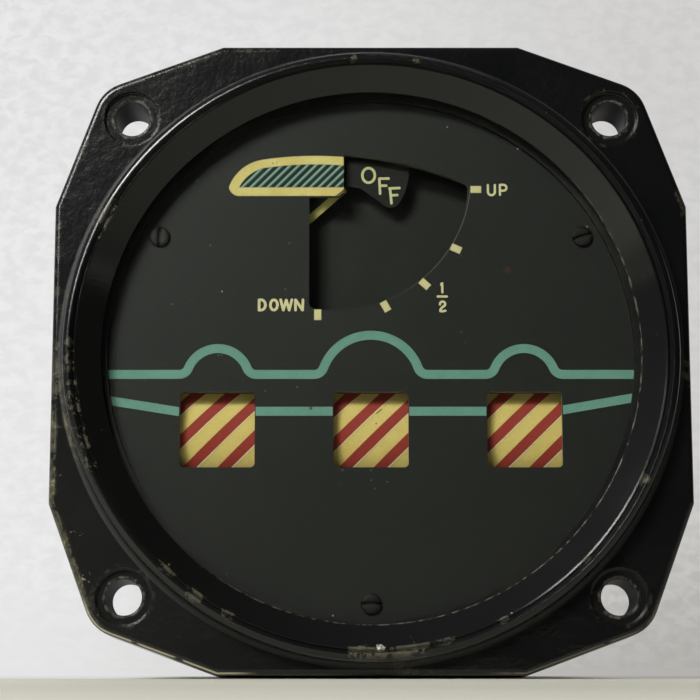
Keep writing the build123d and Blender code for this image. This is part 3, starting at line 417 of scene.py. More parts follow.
def ring_material():
    """Smooth glossy black retaining ring, flaked where it meets the rim, pale on its lip at the
    lower right.
    """
    g = Graph("ring_black")
    patches = g.noise(6.0, 3.0, 0.55)
    fine = g.noise(0.35, 3.0, 0.6, shift=4.0)
    specks = g.step(g.noise(0.42, 2.0, 0.6, shift=13.0), 0.72, 0.78)
    colour = g.mix(patches, srgb(11, 12, 11), srgb(15, 15, 14))
    colour = g.mix(g.times(specks, 0.25), colour, srgb(80, 78, 70))
    around = g.from_axis()
    lower_right = g.minus(g.x, g.z)
    lip = g.step(g.off(around, RING_LIP_RADIUS), 0.17, 0.05)
    lip = g.times(lip, g.step(lower_right, -8.0, 30.0),
                  g.step(g.noise(0.9, 4.0, 0.7, stretch=(1.0, 1.0, 0.6)), 0.42, 0.62))
    colour = g.mix(g.times(lip, 0.6), colour, srgb(104, 106, 88))
    colour, lost, bare = worn_black(g, colour, g.edges(0.6))
    rough = g.total(g.times(fine, 0.06), g.times(patches, 0.05), 0.06,
                    g.times(g.most(lost, lip), 0.3))

    # The outer edge is rounder and smoother at the lower right, where it catches the light.
    lit_edge = g.times(g.step(lower_right, -5.0, 20.0), g.step(around, 37.0, 37.5))
    rounding = g.math("MULTIPLY_ADD", lit_edge, 0.35 * MM, 0.08 * MM)
    uneven = g.times(g.total(fine, g.times(patches, 0.6)), g.less(lit_edge, 0.85))
    normal = g.bump(g.total(uneven, g.times(lost, -3.0)), 0.008, g.soft_normal(rounding))
    return g.finish(colour, rough, normal, g.times(bare, 0.9), BLACK_GLOSS)


# ---------------------------------------------------------------- paint of the dial and drums

def satin_paint(name, colour, worn, roughness, lump=0.02, dust=0.15, edge_wear=0.0,
                specular=0.15):
    """Even sprayed paint with faint patches, dust and a fine surface."""
    g = Graph(name)
    patches = g.noise(6.0, 3.0, 0.55)
    fine = g.noise(0.35, 3.0, 0.6, shift=4.0)
    specks = g.step(g.noise(0.42, 2.0, 0.6, shift=13.0), 0.73, 0.8)
    tint = g.mix(g.times(g.step(patches, 0.35, 0.75), dust), colour, worn)
    tint = g.mix(g.times(specks, 0.35), tint, worn)
    if edge_wear:
        rubbed = g.step(g.noise(0.9, 3.0, shift=9.0), 0.5, 0.65)
        rubbed = g.times(g.step(g.edges(0.2), 0.05, 0.2), rubbed)
        tint = g.mix(g.times(rubbed, edge_wear), tint, worn)
    rough = g.total(g.times(fine, 0.12), g.times(patches, 0.08), roughness - 0.1)
    normal = g.bump(g.total(fine, g.times(patches, 0.6)), lump)
    return g.finish(tint, rough, normal, specular=specular)


# Specks of dust on the dial: x, z and radius in mm.
BRIGHT_DUST = [
    (19.5, 28.0, 0.17), (-19.5, 8.7, 0.14), (-4.9, -33.6, 0.14), (10.2, 31.0, 0.12),
    (28.5, 17.4, 0.15),
]
FAINT_DUST = [
    (-9.6, -4.0, 0.18), (-13.75, -4.5, 0.16), (11.8, 3.3, 0.16), (-3.7, -14.9, 0.18),
    (0.0, -14.9, 0.16), (0.0, -16.2, 0.16), (2.1, -16.4, 0.15), (0.5, -17.3, 0.15),
    (-10.7, 15.2, 0.18), (-22.9, 23.6, 0.2), (-21.1, 14.9, 0.18), (8.8, 18.9, 0.15),
    (1.1, 18.0, 0.15), (-26.0, 7.0, 0.18), (-11.2, 9.0, 0.16), (-19.9, 0.2, 0.16),
    (-19.5, 0.25, 0.14),
]
STAIN = (17.9, DIAL_FRONT, 11.6)


def dial_material():
    """Matt grey-green dial paint: fine grain, dust, a brownish stain, and paler cut edges, partly
    bare, partly painted highlight.
    """
    g = Graph("dial_paint")
    grain = g.noise(0.16, 2.0, 0.6)
    fine = g.noise(0.5, 3.0, 0.6, shift=2.0)
    clouds = g.noise(11.0, 3.0, 0.55, shift=8.0)
    dots = g.step(g.cells(1.9, 4.0), 0.05, 0.03)
    sparse = g.step(g.noise(4.0, 2.0, 0.6, shift=15.0), 0.5, 0.62)
    colour = g.mix(clouds, srgb(27, 29, 26), srgb(32, 33, 30))
    colour = g.mix(g.times(g.step(fine, 0.35, 0.7), 0.35), colour, srgb(36, 38, 34))
    colour = g.mix(g.times(dots, sparse, 0.5), colour, srgb(120, 116, 98))
    stain = g.step(g.total(g.away(*STAIN), fine), 1.25, 0.5)
    colour = g.mix(g.times(stain, 0.6), colour, srgb(78, 52, 36))
    colour = g.mix(g.times(g.dots(BRIGHT_DUST, DIAL_FRONT), 0.8), colour, srgb(190, 186, 160))
    colour = g.mix(g.times(g.dots(FAINT_DUST, DIAL_FRONT), 0.6), colour, srgb(104, 104, 92))
    # Pale line on the lower right of the window's round edge: partly a worn bare edge, partly a
    # painted highlight where that edge catches the light.
    reach = g.away(SCALE_ARC[0], DIAL_FRONT, SCALE_ARC[1])
    arc_edge = g.step(g.off(reach, SCALE_ARC[2] + 0.03), 0.07, 0.02)
    arc_edge = g.times(arc_edge, g.step(g.x, -8.0, 9.0), g.step(g.z, 24.0, 22.0))
    colour = g.mix(g.times(arc_edge, g.step(fine, 0.2, 0.5), 0.7), colour, srgb(112, 110, 96))
    # Paler walls of the cut windows: partly bare cut metal, partly a painted highlight.
    wall = g.step(g.size(g.facing()), 0.6, 0.3)
    colour = g.mix(wall, colour, g.mix(fine, srgb(96, 98, 84), srgb(132, 132, 112)))
    rough = g.total(g.times(grain, 0.1), g.times(clouds, 0.06), 0.38)
    normal = g.bump(g.total(grain, g.times(fine, 0.7)), 0.012)
    return g.finish(colour, rough, normal, specular=0.2)


def mark_paint(name, base, light, dark, dot, details=None):
    """Opaque printed paint, a little mottled and spotted; details adds what only one shows."""
    g = Graph(name)
    clouds = g.noise(3.0, 3.0, 0.6)
    fine = g.noise(0.3, 3.0, 0.6, shift=6.0)
    spots = g.step(g.noise(0.5, 2.0, 0.7, shift=17.0), 0.66, 0.76)
    colour = g.mix(g.step(clouds, 0.3, 0.7), base, light)
    colour = g.mix(g.times(g.step(fine, 0.45, 0.75), 0.5), colour, dark)
    colour = g.mix(g.times(spots, 0.35), colour, dot)
    if details:
        colour = details(g, colour)
    rough = g.total(g.times(fine, 0.15), 0.48)
    return g.finish(colour, rough, g.bump(fine, 0.012), specular=0.12)


# The chipped lower right corner of the wing: a point of the break, and its direction.
WING_CORNER = (-4.686, 21.511)
WING_BREAK = (0.639, -0.769)
WING_CHIPS = [(-12.95, 26.0, 0.16), (-12.4, 26.1, 0.13)]
GREEN_CHIP = [(-7.8, -6.8, 0.3)]


def wing_details(g, colour):
    """Thin printed edges, golden stains, and the chipped lower right corner of the wing."""
    wing = g.times(g.step(g.x, -3.2, -3.4), g.step(g.z, 20.0, 21.0))
    golden = g.times(wing, g.step(g.noise(1.1, 3.0, 0.6, shift=23.0), 0.52, 0.66))
    colour = g.mix(g.times(g.minus(1.0, wing), 0.8), colour, LETTER[0])
    colour = g.mix(g.times(golden, 0.4), colour, srgb(206, 172, 96))
    thin = g.step(g.edges(0.15), 0.03, 0.15)
    colour = g.mix(g.times(thin, 0.7), colour, srgb(60, 58, 44))
    start = sum(part * place for part, place in zip(WING_BREAK, WING_CORNER))
    beyond = g.total(g.times(g.x, WING_BREAK[0]), g.times(g.z, WING_BREAK[1]), -start)
    corner = g.times(g.step(beyond, -0.03, 0.05), g.step(g.x, -6.0, -5.5), wing)
    rib = g.step(g.off(beyond, 0.22), 0.08, 0.03)
    broken = g.mix(g.times(rib, 0.7), srgb(34, 33, 26), srgb(150, 132, 78))
    chips = g.dots(WING_CHIPS, MARKS_FRONT)
    colour = g.mix(g.times(chips, 0.7), colour, srgb(110, 92, 50))
    return g.mix(corner, colour, broken)


def hatch_details(g, colour):
    """Narrow bars in the wing, with a paler line along the upper left edge of each."""
    across = g.total(g.x, g.times(g.z, -1.0), HATCH_FOOT[1] - HATCH_FOOT[0])
    across = g.times(across, sin(radians(45)))
    place = g.math("WRAP", across, HATCH_STEP / 2, -HATCH_STEP / 2)
    wing = g.step(g.z, 18.0, 19.0)
    edge = g.step(g.size(place), HATCH_HALF * 0.66, HATCH_HALF * 0.84)
    pale = g.step(g.off(place, -HATCH_HALF * 0.45), 0.07, 0.02)
    colour = g.mix(g.times(pale, wing, 0.45), colour, srgb(178, 206, 186))
    colour = g.mix(g.times(g.dots(GREEN_CHIP, MARKS_FRONT), 0.8), colour, srgb(40, 52, 46))
    return g.mix(g.times(edge, wing, 0.9), colour, srgb(36, 38, 36))


# Base, light, dark and spot colours of the paints.
CREAM = (srgb(201, 186, 114), srgb(211, 198, 128), srgb(192, 173, 99), srgb(204, 158, 87))
DRUM_CREAM = (srgb(206, 185, 106), srgb(214, 194, 118), srgb(194, 168, 90))
LETTER = (srgb(205, 198, 150), srgb(213, 206, 159), srgb(192, 185, 136), srgb(150, 142, 97))
RED = (srgb(153, 60, 50), srgb(140, 54, 44))
DARK = (srgb(38, 39, 36), srgb(50, 51, 46))


def drum_angle(g, unit):
    """Place of a point round the drum, from its front upwards, with unit for one radian."""
    up = g.minus(g.z, DRUM_Z)
    front = g.minus(DRUM_Y, g.y)
    return g.times(g.math("ARCTAN2", up, front), unit)


# A scratch in the middle window, its direction, and a spot measured from it.
SCRATCH = (1.08, -6.95)
SCRATCH_RUN = (0.765, 0.644)
SPOT = (-0.39, -1.65)


def drum_material():
    """Cream in the middle face of the drum, dark grey paint on the rest."""
    g = Graph("drum_paint_faces")
    turn = drum_angle(g, 180 / pi)
    front = g.step(g.size(turn), FACE_HALF + 0.15, FACE_HALF - 0.15)
    clouds = g.noise(4.0, 3.0, 0.6)
    fine = g.noise(0.3, 3.0, 0.6, shift=6.0)
    cream = g.mix(g.step(clouds, 0.3, 0.7), DRUM_CREAM[0], DRUM_CREAM[1])
    cream = g.mix(g.times(g.step(fine, 0.4, 0.8), 0.5), cream, DRUM_CREAM[2])
    x = g.minus(g.x, SCRATCH[0])
    z = g.minus(g.z, SCRATCH[1])
    beside = g.size(g.total(g.times(x, -SCRATCH_RUN[1]), g.times(z, SCRATCH_RUN[0])))
    along = g.size(g.total(g.times(x, SCRATCH_RUN[0]), g.times(z, SCRATCH_RUN[1])))
    scratch = g.times(g.step(beside, 0.12, 0.05), g.step(along, 0.62, 0.45))
    spot = g.step(g.length(g.minus(x, SPOT[0]), g.minus(z, SPOT[1])), 0.16, 0.08)
    cream = g.mix(g.times(g.most(scratch, spot), 0.75), cream, srgb(84, 74, 40))
    dark = g.mix(clouds, *DARK)
    colour = g.mix(front, dark, cream)
    rough = g.total(g.times(fine, 0.15), 0.5)
    return g.finish(colour, rough, g.bump(fine, 0.012), specular=0.1)


def stripe_material(name, x_centre, start):
    """Dark red stripes with a thin pale line along their lower edge."""
    g = Graph(name)
    arc = drum_angle(g, DRUM_RADIUS)
    slope = sin(radians(STRIPE_SLOPE)) / cos(radians(STRIPE_SLOPE))
    along = g.times(g.minus(g.x, x_centre), slope)
    phase = g.minus(g.minus(arc, along), start)
    phase = g.math("FRACT", g.total(g.math("DIVIDE", phase, STRIPE_PERIOD), 0.5))
    lower_edge = 0.5 - STRIPE_HALF
    wobble = g.times(g.noise(1.0, 2.0, 0.6), 0.016)
    line = g.step(g.total(phase, wobble), lower_edge + 0.043, lower_edge + 0.033)
    fine = g.noise(0.3, 3.0, 0.6, shift=6.0)
    red = g.mix(g.noise(2.0, 3.0, 0.6, shift=3.0), *RED)
    red = g.mix(g.times(g.step(fine, 0.5, 0.8), 0.5), red, srgb(116, 44, 36))
    colour = g.mix(line, red, srgb(230, 218, 184))
    rough = g.total(g.times(fine, 0.15), 0.5)
    return g.finish(colour, rough, g.bump(fine, 0.012), specular=0.1)


def pointer_material():
    """Dark pointer blade with the same green hatching as the fixed wing."""
    g = Graph("pointer_blade")
    turn = radians(POINTER_PARK)
    x = g.minus(g.x, POINTER_PIVOT[0])
    z = g.minus(g.z, POINTER_PIVOT[1])
    along = g.total(g.times(x, cos(turn)), g.times(z, sin(turn)))
    across = g.total(g.times(x, -sin(turn)), g.times(z, cos(turn)))
    phase = g.math("FRACT", g.math("DIVIDE", g.minus(along, across), POINTER_HATCH_STEP))
    hatch = g.step(g.off(phase, 0.5), 0.26, 0.23)
    blade = g.step(along, 3.1, 3.3)
    face = g.step(g.y, POINTER_FRONT + 0.03, POINTER_FRONT)
    fine = g.noise(0.3, 3.0, 0.6)
    dark = g.mix(g.noise(3.0, 3.0), *DARK)
    green = g.mix(fine, srgb(96, 146, 124), srgb(112, 160, 138))
    colour = g.mix(g.times(hatch, blade, face), dark, green)
    return g.finish(colour, g.total(g.times(fine, 0.15), 0.5), g.bump(fine, 0.015))


# ---------------------------------------------------------------- metals, rubber, resin, glass

def metal(name, colour, dark, roughness, stretch=None, dull=0.3, tarnish=0.25, rounding=None):
    """Machined or drawn metal with fine tool marks, handling stains and duller patches."""
    g = Graph(name)
    marks = g.noise(0.25, 3.0, 0.6, stretch=stretch)
    stains = g.noise(3.5, 4.0, 0.6, shift=5.0)
    fine = g.noise(0.12, 2.0, 0.5, shift=2.0)
    tint = g.mix(g.times(g.step(stains, 0.4, 0.75), tarnish), colour, dark)
    tint = g.mix(g.times(g.step(marks, 0.4, 0.7), 0.2), tint, dark)
    rough = g.total(g.times(stains, dull), g.times(marks, 0.15), roughness - dull / 2)
    normal = g.soft_normal(rounding * MM) if rounding else None
    return g.finish(tint, rough, g.bump(g.total(marks, g.times(fine, 0.4)), 0.01, normal), 1.0)


def winding(name, colour, dark, turns, axis):
    """Enamelled wire laid side by side, turns per mm along one axis."""
    g = Graph(name)
    place = {"x": g.x, "y": g.y, "z": g.z}[axis]
    drift = g.times(g.noise(1.5, 2.0, 0.6), 0.5)
    wave = g.math("SINE", g.times(g.total(place, drift), turns * 2 * pi))
    height = g.math("MULTIPLY_ADD", wave, 0.5, 0.5)
    varnish = g.noise(1.2, 3.0, 0.6, shift=5.0)
    tint = g.mix(g.step(height, 0.1, 0.7), dark, colour)
    tint = g.mix(g.times(g.step(varnish, 0.5, 0.8), 0.4), tint, dark)
    rough = g.total(g.times(varnish, 0.2), 0.25)
    return g.finish(tint, rough, g.bump(height, 0.05), 0.6)


def laminated(name, colour, dark, sheets):
    """Stacked iron sheets seen on their edges, lacquered, with light rust."""
    g = Graph(name)
    wave = g.math("SINE", g.times(g.y, 2 * pi / sheets))
    seam = g.step(wave, -0.7, -0.2)
    rust = g.noise(1.6, 4.0, 0.65)
    tint = g.mix(g.step(rust, 0.55, 0.75), colour, srgb(92, 66, 50))
    tint = g.mix(seam, dark, tint)
    rough = g.total(g.times(rust, 0.3), 0.35)
    return g.finish(tint, rough, g.bump(seam, 0.03), 0.7)


def rubber(name):
    """Dull black rubber with a greyish bloom."""
    g = Graph(name)
    fine = g.noise(0.25, 3.0, 0.6)
    bloom = g.noise(2.5, 3.0, 0.6, shift=4.0)
    tint = g.mix(g.step(bloom, 0.4, 0.8), srgb(34, 34, 34), srgb(58, 57, 54))
    return g.finish(tint, g.total(g.times(bloom, 0.15), 0.7), g.bump(fine, 0.03))


def resin(name):
    """Moulded insert: dark green filled resin, slightly glossy, with flow lines."""
    g = Graph(name)
    flow = g.noise(1.2, 3.0, 0.6, 1.5)
    fine = g.noise(0.2, 2.0, 0.6, shift=2.0)
    tint = g.mix(flow, srgb(52, 74, 60), srgb(66, 88, 70))
    tint = g.mix(g.times(g.step(fine, 0.6, 0.8), 0.4), tint, srgb(92, 100, 84))
    return g.finish(tint, g.total(g.times(flow, 0.2), 0.38), g.bump(fine, 0.015))


def plating(name):
    """Olive plated shell, worn to metal on its edges, with a fine thread at its open end."""
    g = Graph(name)
    worn = g.step(g.edges(0.3), 0.06, 0.2)
    stains = g.noise(2.2, 4.0, 0.65)
    fine = g.noise(0.2, 3.0, 0.6, shift=3.0)
    rub = g.times(worn, g.step(g.noise(0.8, 3.0, shift=7.0), 0.4, 0.6))
    tint = g.mix(g.step(stains, 0.35, 0.75), srgb(122, 122, 84), srgb(100, 98, 70))
    tint = g.mix(g.times(g.step(fine, 0.55, 0.8), 0.4), tint, srgb(142, 140, 110))
    tint = g.mix(rub, tint, srgb(188, 186, 174))
    rough = g.total(g.times(stains, 0.25), 0.3)
    return g.finish(tint, rough, g.bump(g.total(fine, g.times(stains, 0.5)), 0.02), 0.75)


def glass_material():
    """Thin coated glass: clear, with a weak reflection and faint smears."""
    g = Graph("cover_glass")
    g.tree.nodes.remove(g.shader)
    smears = g.noise(9.0, 4.0, 0.6, 1.0, stretch=(1.0, 1.0, 0.4))
    clear = g.add("ShaderNodeBsdfTransparent")
    clear.inputs["Color"].default_value = (0.97, 0.98, 0.97, 1)
    gloss = g.add("ShaderNodeBsdfGlossy")
    gloss.inputs["Color"].default_value = (0.8, 0.85, 0.9, 1)
    g.wire(g.total(g.times(smears, 0.1), 0.02), gloss.inputs["Roughness"])
    fresnel = g.add("ShaderNodeFresnel")
    fresnel.inputs["IOR"].default_value = 1.16
    share = g.times(fresnel.outputs[0], g.total(g.times(smears, 0.6), 0.7))
    both = g.add("ShaderNodeMixShader")
    g.wire(share, both.inputs[0])
    g.wire(clear.outputs[0], both.inputs[1])
    g.wire(gloss.outputs[0], both.inputs[2])
    g.wire(both.outputs[0], g.output.inputs["Surface"])
    return g.material


def dress(material, *names):
    """Gives pieces one material in place of what they had."""
    for name in names:
        slots = nodes[name].data.materials
        slots.clear()
        slots.append(material)


green = mark_paint("green_paint", srgb(100, 144, 129), srgb(107, 152, 136),
                   srgb(91, 133, 120), srgb(85, 120, 108), hatch_details)
cream = mark_paint("cream_paint", *CREAM)
wing_cream = mark_paint("cream_wing_paint", *CREAM, wing_details)
letter = mark_paint("letter_paint", *LETTER)
flag_letter = mark_paint("flag_letter_paint", srgb(189, 188, 138), srgb(198, 197, 148),
                         srgb(174, 173, 122), srgb(136, 133, 92))
# Painted shade: the pointer's strip is a darker copy of the cream paint.
shaded_strip = mark_paint("pointer_strip_shaded_paint", srgb(186, 180, 104), srgb(198, 192, 114),
                   srgb(164, 160, 88), srgb(150, 140, 76))
steel = metal("steel", srgb(176, 175, 172), srgb(112, 108, 102), 0.34)
blackened = metal("blackened_steel", srgb(50, 50, 47), srgb(28, 28, 27), 0.42, tarnish=0.4,
                  rounding=0.7)
aluminium = metal("aluminium", srgb(184, 184, 182), srgb(138, 137, 134), 0.42,
                  stretch=(0.2, 1.0, 3.0))
brass = metal("brass", srgb(190, 158, 92), srgb(128, 98, 56), 0.36)
magnet = metal("magnet", srgb(92, 92, 94), srgb(62, 60, 60), 0.45, dull=0.2)
iron = laminated("iron_sheets", srgb(112, 108, 104), srgb(44, 42, 40), 0.5)
copper = (srgb(168, 92, 52), srgb(82, 40, 26))

dress(case_material(), "case")
dress(ring_material(), "retaining_ring")
dress(satin_paint("spacer_black", srgb(15, 16, 15), srgb(84, 78, 62), 0.4, dust=0.1,
                  edge_wear=0.6, specular=0.35), "dial_spacer_ring")
dress(satin_paint("plate_black", srgb(31, 33, 29), srgb(42, 43, 38), 0.5, 0.015, 0.3),
      "front_plate")
dress(satin_paint("flag_grey", srgb(25, 26, 23), srgb(36, 37, 33), 0.5, 0.012, 0.3), "off_flag")
dress(glass_material(), "cover_glass")
dress(rubber("black_rubber"), "glass_gasket", "connector_gasket")
dress(dial_material(), "dial_plate")
dress(green, "dial_green_marks")
dress(wing_cream, "dial_cream_marks")
dress(shaded_strip, "flap_pointer_marks")
dress(blackened, "dial_screws")
dress(pointer_material(), "flap_pointer")
dress(drum_material(), *[side + "_drum" for side in WHEELS])
for side, (x_centre, start) in WHEELS.items():
    dress(stripe_material(side + "_stripes", x_centre, start), side + "_drum_stripes")
dress(steel, "case_screws", "mechanism_screws", "connector_screws", "flap_shaft", "off_flag_shaft",
      *[side + "_drum_shaft" for side in WHEELS])
dress(aluminium, "rear_plate", "front_pillars", "rear_pillars", "drum_frame", "flap_motor_case",
      "flap_motor_cap", "off_flag_bracket")
dress(brass, "dial_posts", "drum_bushes", "off_flag_bushes", "connector_pins")
dress(blackened, "flap_bushes")
dress(magnet, "flap_magnet", "off_flag_magnet", *[side + "_drum_magnet" for side in WHEELS])
dress(iron, "flap_stator_core", "off_flag_core", *[side + "_drum_core" for side in WHEELS])
dress(winding("drum_windings", *copper, 4.0, "z"), *[side + "_drum_coils" for side in WHEELS])
dress(winding("flag_winding", *copper, 4.0, "z"), "off_flag_coil")
dress(winding("receiver_windings", srgb(164, 88, 50), srgb(80, 40, 26), 3.2, "y"),
      "flap_stator_windings")
dress(resin("insert_resin"), "connector_insert")
dress(plating("olive_plating"), "connector_shell")


# ---------------------------------------------------------------- words and signs

def arc(centre, half_width, half_height, start, end, count=18):
    """Points on part of an ellipse, from angle start to end in degrees."""
    points = []
    for index in range(count + 1):
        angle = radians(start + (end - start) * index / count)
        points.append((centre[0] + half_width * cos(angle), centre[1] + half_height * sin(angle)))
    return points


def subdivided(points, longest):
    """The same line with more points, so that no part of it is longer than longest."""
    fine = [points[0]]
    for start, end in zip(points, points[1:]):
        across, up = end[0] - start[0], end[1] - start[1]
        count = max(1, int(hypot(across, up) / longest + 0.999))
        for index in range(1, count + 1):
            share = index / count
            fine.append((start[0] + across * share, start[1] + up * share))
    return fine


def stroke_outline(points, width):
    """Left and right sides of a stroke with round ends, as two lists of the same length."""
    half = width / 2
    closed = hypot(points[0][0] - points[-1][0], points[0][1] - points[-1][1]) < 1e-6
    sides = []
    count = len(points)
    for index in range(count):
        before = points[index - 1] if index else (points[-2] if closed else points[0])
        after = points[index + 1] if index < count - 1 else (points[1] if closed else points[-1])
        run = (after[0] - before[0], after[1] - before[1])
        length = hypot(*run)
        run = (run[0] / length, run[1] / length)
        sides.append((points[index], run))
    rows = []
    if not closed:
        point, run = sides[0]
        for angle in (80, 60, 40, 20):
            back, out = half * sin(radians(angle)), half * cos(radians(angle))
            rows.append(((point[0] - run[0] * back, point[1] - run[1] * back), run, out))
    for point, run in sides:
        rows.append((point, run, half))
    if not closed:
        point, run = sides[-1]
        for angle in (20, 40, 60, 80):
            ahead, out = half * sin(radians(angle)), half * cos(radians(angle))
            rows.append(((point[0] + run[0] * ahead, point[1] + run[1] * ahead), run, out))
    left = [(p[0] - run[1] * out, p[1] + run[0] * out) for p, run, out in rows]
    right = [(p[0] + run[1] * out, p[1] - run[0] * out) for p, run, out in rows]
    return left, right, closed


PAINT_FOOT = 0.004  # painted strokes start this far above the surface, in mm
STROKE_RISE = 0.003  # each stroke is this much thicker than the one it may cross


def drawn(name, strokes, width, place, body, material, thickness=0.05, longest=0.6):
    """A piece of painted strokes; place(u, v, height) gives a point of the surface in mm."""
    points = []
    faces = []
    for number, stroke in enumerate(strokes):
        left, right, closed = stroke_outline(subdivided(stroke, longest), width)
        top = thickness + STROKE_RISE * number
        first = len(points)
        for (lu, lv), (ru, rv) in zip(left, right):
            points += [place(lu, lv, top), place(ru, rv, top),
                       place(ru, rv, PAINT_FOOT), place(lu, lv, PAINT_FOOT)]
        count = len(left)
        for index in range(count - 1):
            here = first + 4 * index
            there = here + 4
            for corner in range(4):
                following = (corner + 1) % 4
                faces.append((here + corner, here + following, there + following, there + corner))
        if not closed:
            last = first + 4 * (count - 1)
            faces.append(tuple(first + corner for corner in (3, 2, 1, 0)))
            faces.append(tuple(last + corner for corner in (0, 1, 2, 3)))
    mesh = bpy.data.meshes.new(name)
    mesh.from_pydata([Vector(point) * MM for point in points], [], faces)
    mesh.validate()
    mesh.update()
    mesh.materials.append(material)
    piece = bpy.data.objects.new(name, mesh)
    bpy.context.scene.collection.objects.link(piece)
    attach(piece, body)
    return piece


def on_dial(u, v, height):
    """A point above the dial's front face."""
    return (u, DIAL_FRONT - height, v)


def on_flag(u, v, height):
    """A point above the flag's front face."""
    return (u, FLAG_FRONT - height, v)


def on_drum(x_centre, face_angle):
    """Places a flat drawing on a drum face; v runs upwards round the drum."""
    def place(u, v, height):
        angle = radians(face_angle) + v / DRUM_RADIUS
        reach = DRUM_RADIUS + height
        return (x_centre + u, DRUM_Y - reach * cos(angle), DRUM_Z + reach * sin(angle))
    return place


UP_WORD = [
    [(15.5, 23.05), (15.5, 22.2)] + arc((15.96, 22.15), 0.46, 0.48, 180, 360)
    + [(16.42, 22.2), (16.42, 23.05)],
    [(17.09, 21.72), (17.09, 23.07)],
    [(17.09, 23.08), (17.5, 23.08)] + arc((17.54, 22.68), 0.41, 0.4, 90, -90)
    + [(17.5, 22.28), (17.09, 22.28)],
]
DOWN_WORD = [
    [(-14.62, 6.2), (-14.62, 7.55)],
    [(-14.6, 7.55), (-14.35, 7.56)] + arc((-14.35, 6.88), 0.55, 0.68, 90, -90)
    + [(-14.35, 6.2), (-14.6, 6.2)],
    arc((-12.68, 6.88), 0.46, 0.68, 0, 360, 28),
    [(-11.8, 7.56), (-11.45, 6.2)], [(-11.45, 6.2), (-11.07, 7.52)],
    [(-11.07, 7.52), (-10.68, 6.2)], [(-10.68, 6.2), (-10.33, 7.56)],
    [(-9.86, 6.2), (-9.86, 7.56)], [(-9.84, 7.56), (-8.95, 6.2)], [(-8.93, 6.2), (-8.88, 7.56)],
]
HALF_SIGN = [
    [(9.38, 8.58), (9.36, 9.78)], [(9.22, 9.6), (9.36, 9.78)], [(8.77, 8.01), (9.96, 8.01)],
    arc((9.4, 7.0), 0.34, 0.33, 190, -35, 14)
    + [(9.5, 6.68), (9.22, 6.42), (9.1, 6.2), (9.08, 6.05), (9.3, 6.02), (9.76, 6.1)],
]
OFF_WORD = [
    arc((-0.25, 24.75), 0.83, 1.0, 0, 360, 32),
    [(1.2, 24.3), (2.4, 24.33)], [(1.18, 24.28), (1.27, 22.25)], [(1.25, 23.34), (2.08, 23.34)],
    [(2.52, 22.96), (3.84, 23.02)], [(2.6, 22.9), (2.78, 20.93)], [(2.72, 22.02), (3.55, 22.06)],
]
drawn("word_up", UP_WORD, 0.29, on_dial, "body", letter)
drawn("word_down", DOWN_WORD, 0.35, on_dial, "body", letter)
drawn("sign_half", HALF_SIGN, 0.3, on_dial, "body", letter)
drawn("word_off", OFF_WORD, 0.34, on_flag, "off_flag_unit", flag_letter)

DRUM_UP = [
    [(-3.6, 1.9), (-3.6, -0.6)] + arc((-2.3, -0.6), 1.3, 1.3, 180, 360)
    + [(-1.0, -0.6), (-1.0, 1.9)],
    [(1.0, -1.9), (1.0, 1.9)],
    [(1.0, 1.9), (2.4, 1.9)] + arc((2.4, 0.85), 1.05, 1.05, 90, -90) + [(2.4, -0.2), (1.0, -0.2)],
]
DRUM_WHEEL = [
    arc((0, 0.0), 2.45, 2.45, 0, 360, 40), arc((0, 0.0), 1.0, 1.0, 0, 360, 24),
    [(0.0, 2.6), (0.0, 3.9)], [(-1.6, 3.9), (1.6, 3.9)],
]
for side, (x_centre, _) in WHEELS.items():
    wheel = side + "_wheel"
    drawn(side + "_word_up", DRUM_UP, 0.75, on_drum(x_centre, FACE_TURN), wheel, cream)
    drawn(side + "_wheel_sign", DRUM_WHEEL, 0.7, on_drum(x_centre, -FACE_TURN), wheel, cream)


# ---------------------------------------------------------------- floor, backdrop and light

def sheet(name, corners, material):
    """A flat sheet of the stage, through four corners in mm."""
    mesh = bpy.data.meshes.new(name)
    mesh.from_pydata([Vector(corner) * MM for corner in corners], [], [(0, 1, 2, 3)])
    mesh.update()
    mesh.materials.append(material)
    piece = bpy.data.objects.new(name, mesh)
    bpy.context.scene.collection.objects.link(piece)
    return piece


def shown_rays(g):
    """1 for the rays that show something, 0 for those that only light it."""
    seen = g.add("ShaderNodeLightPath").outputs
    return g.most(seen["Is Camera Ray"], seen["Is Glossy Ray"], seen["Is Transmission Ray"])


def with_glow(g, colour, strength, share, shader):
    """Mixes a shader with an even glow of a colour."""
    glow = g.add("ShaderNodeEmission")
    g.wire(colour, glow.inputs["Color"])
    glow.inputs["Strength"].default_value = strength
    both = g.add("ShaderNodeMixShader")
    g.wire(share, both.inputs[0])
    g.wire(shader.outputs[0], both.inputs[1])
    g.wire(glow.outputs[0], both.inputs[2])
    g.wire(both.outputs[0], g.output.inputs["Surface"])


def wall_tone(g, across, down):
    """The wall's tone: painted light, paler on the left and falling off to the right, and a painted
    shadow darker in the lower right corner.
    """
    tone = g.mix(across, srgb(229, 229, 229), srgb(204, 203, 201))
    return g.mix(g.times(across, down, 0.9), tone, srgb(172, 170, 165))


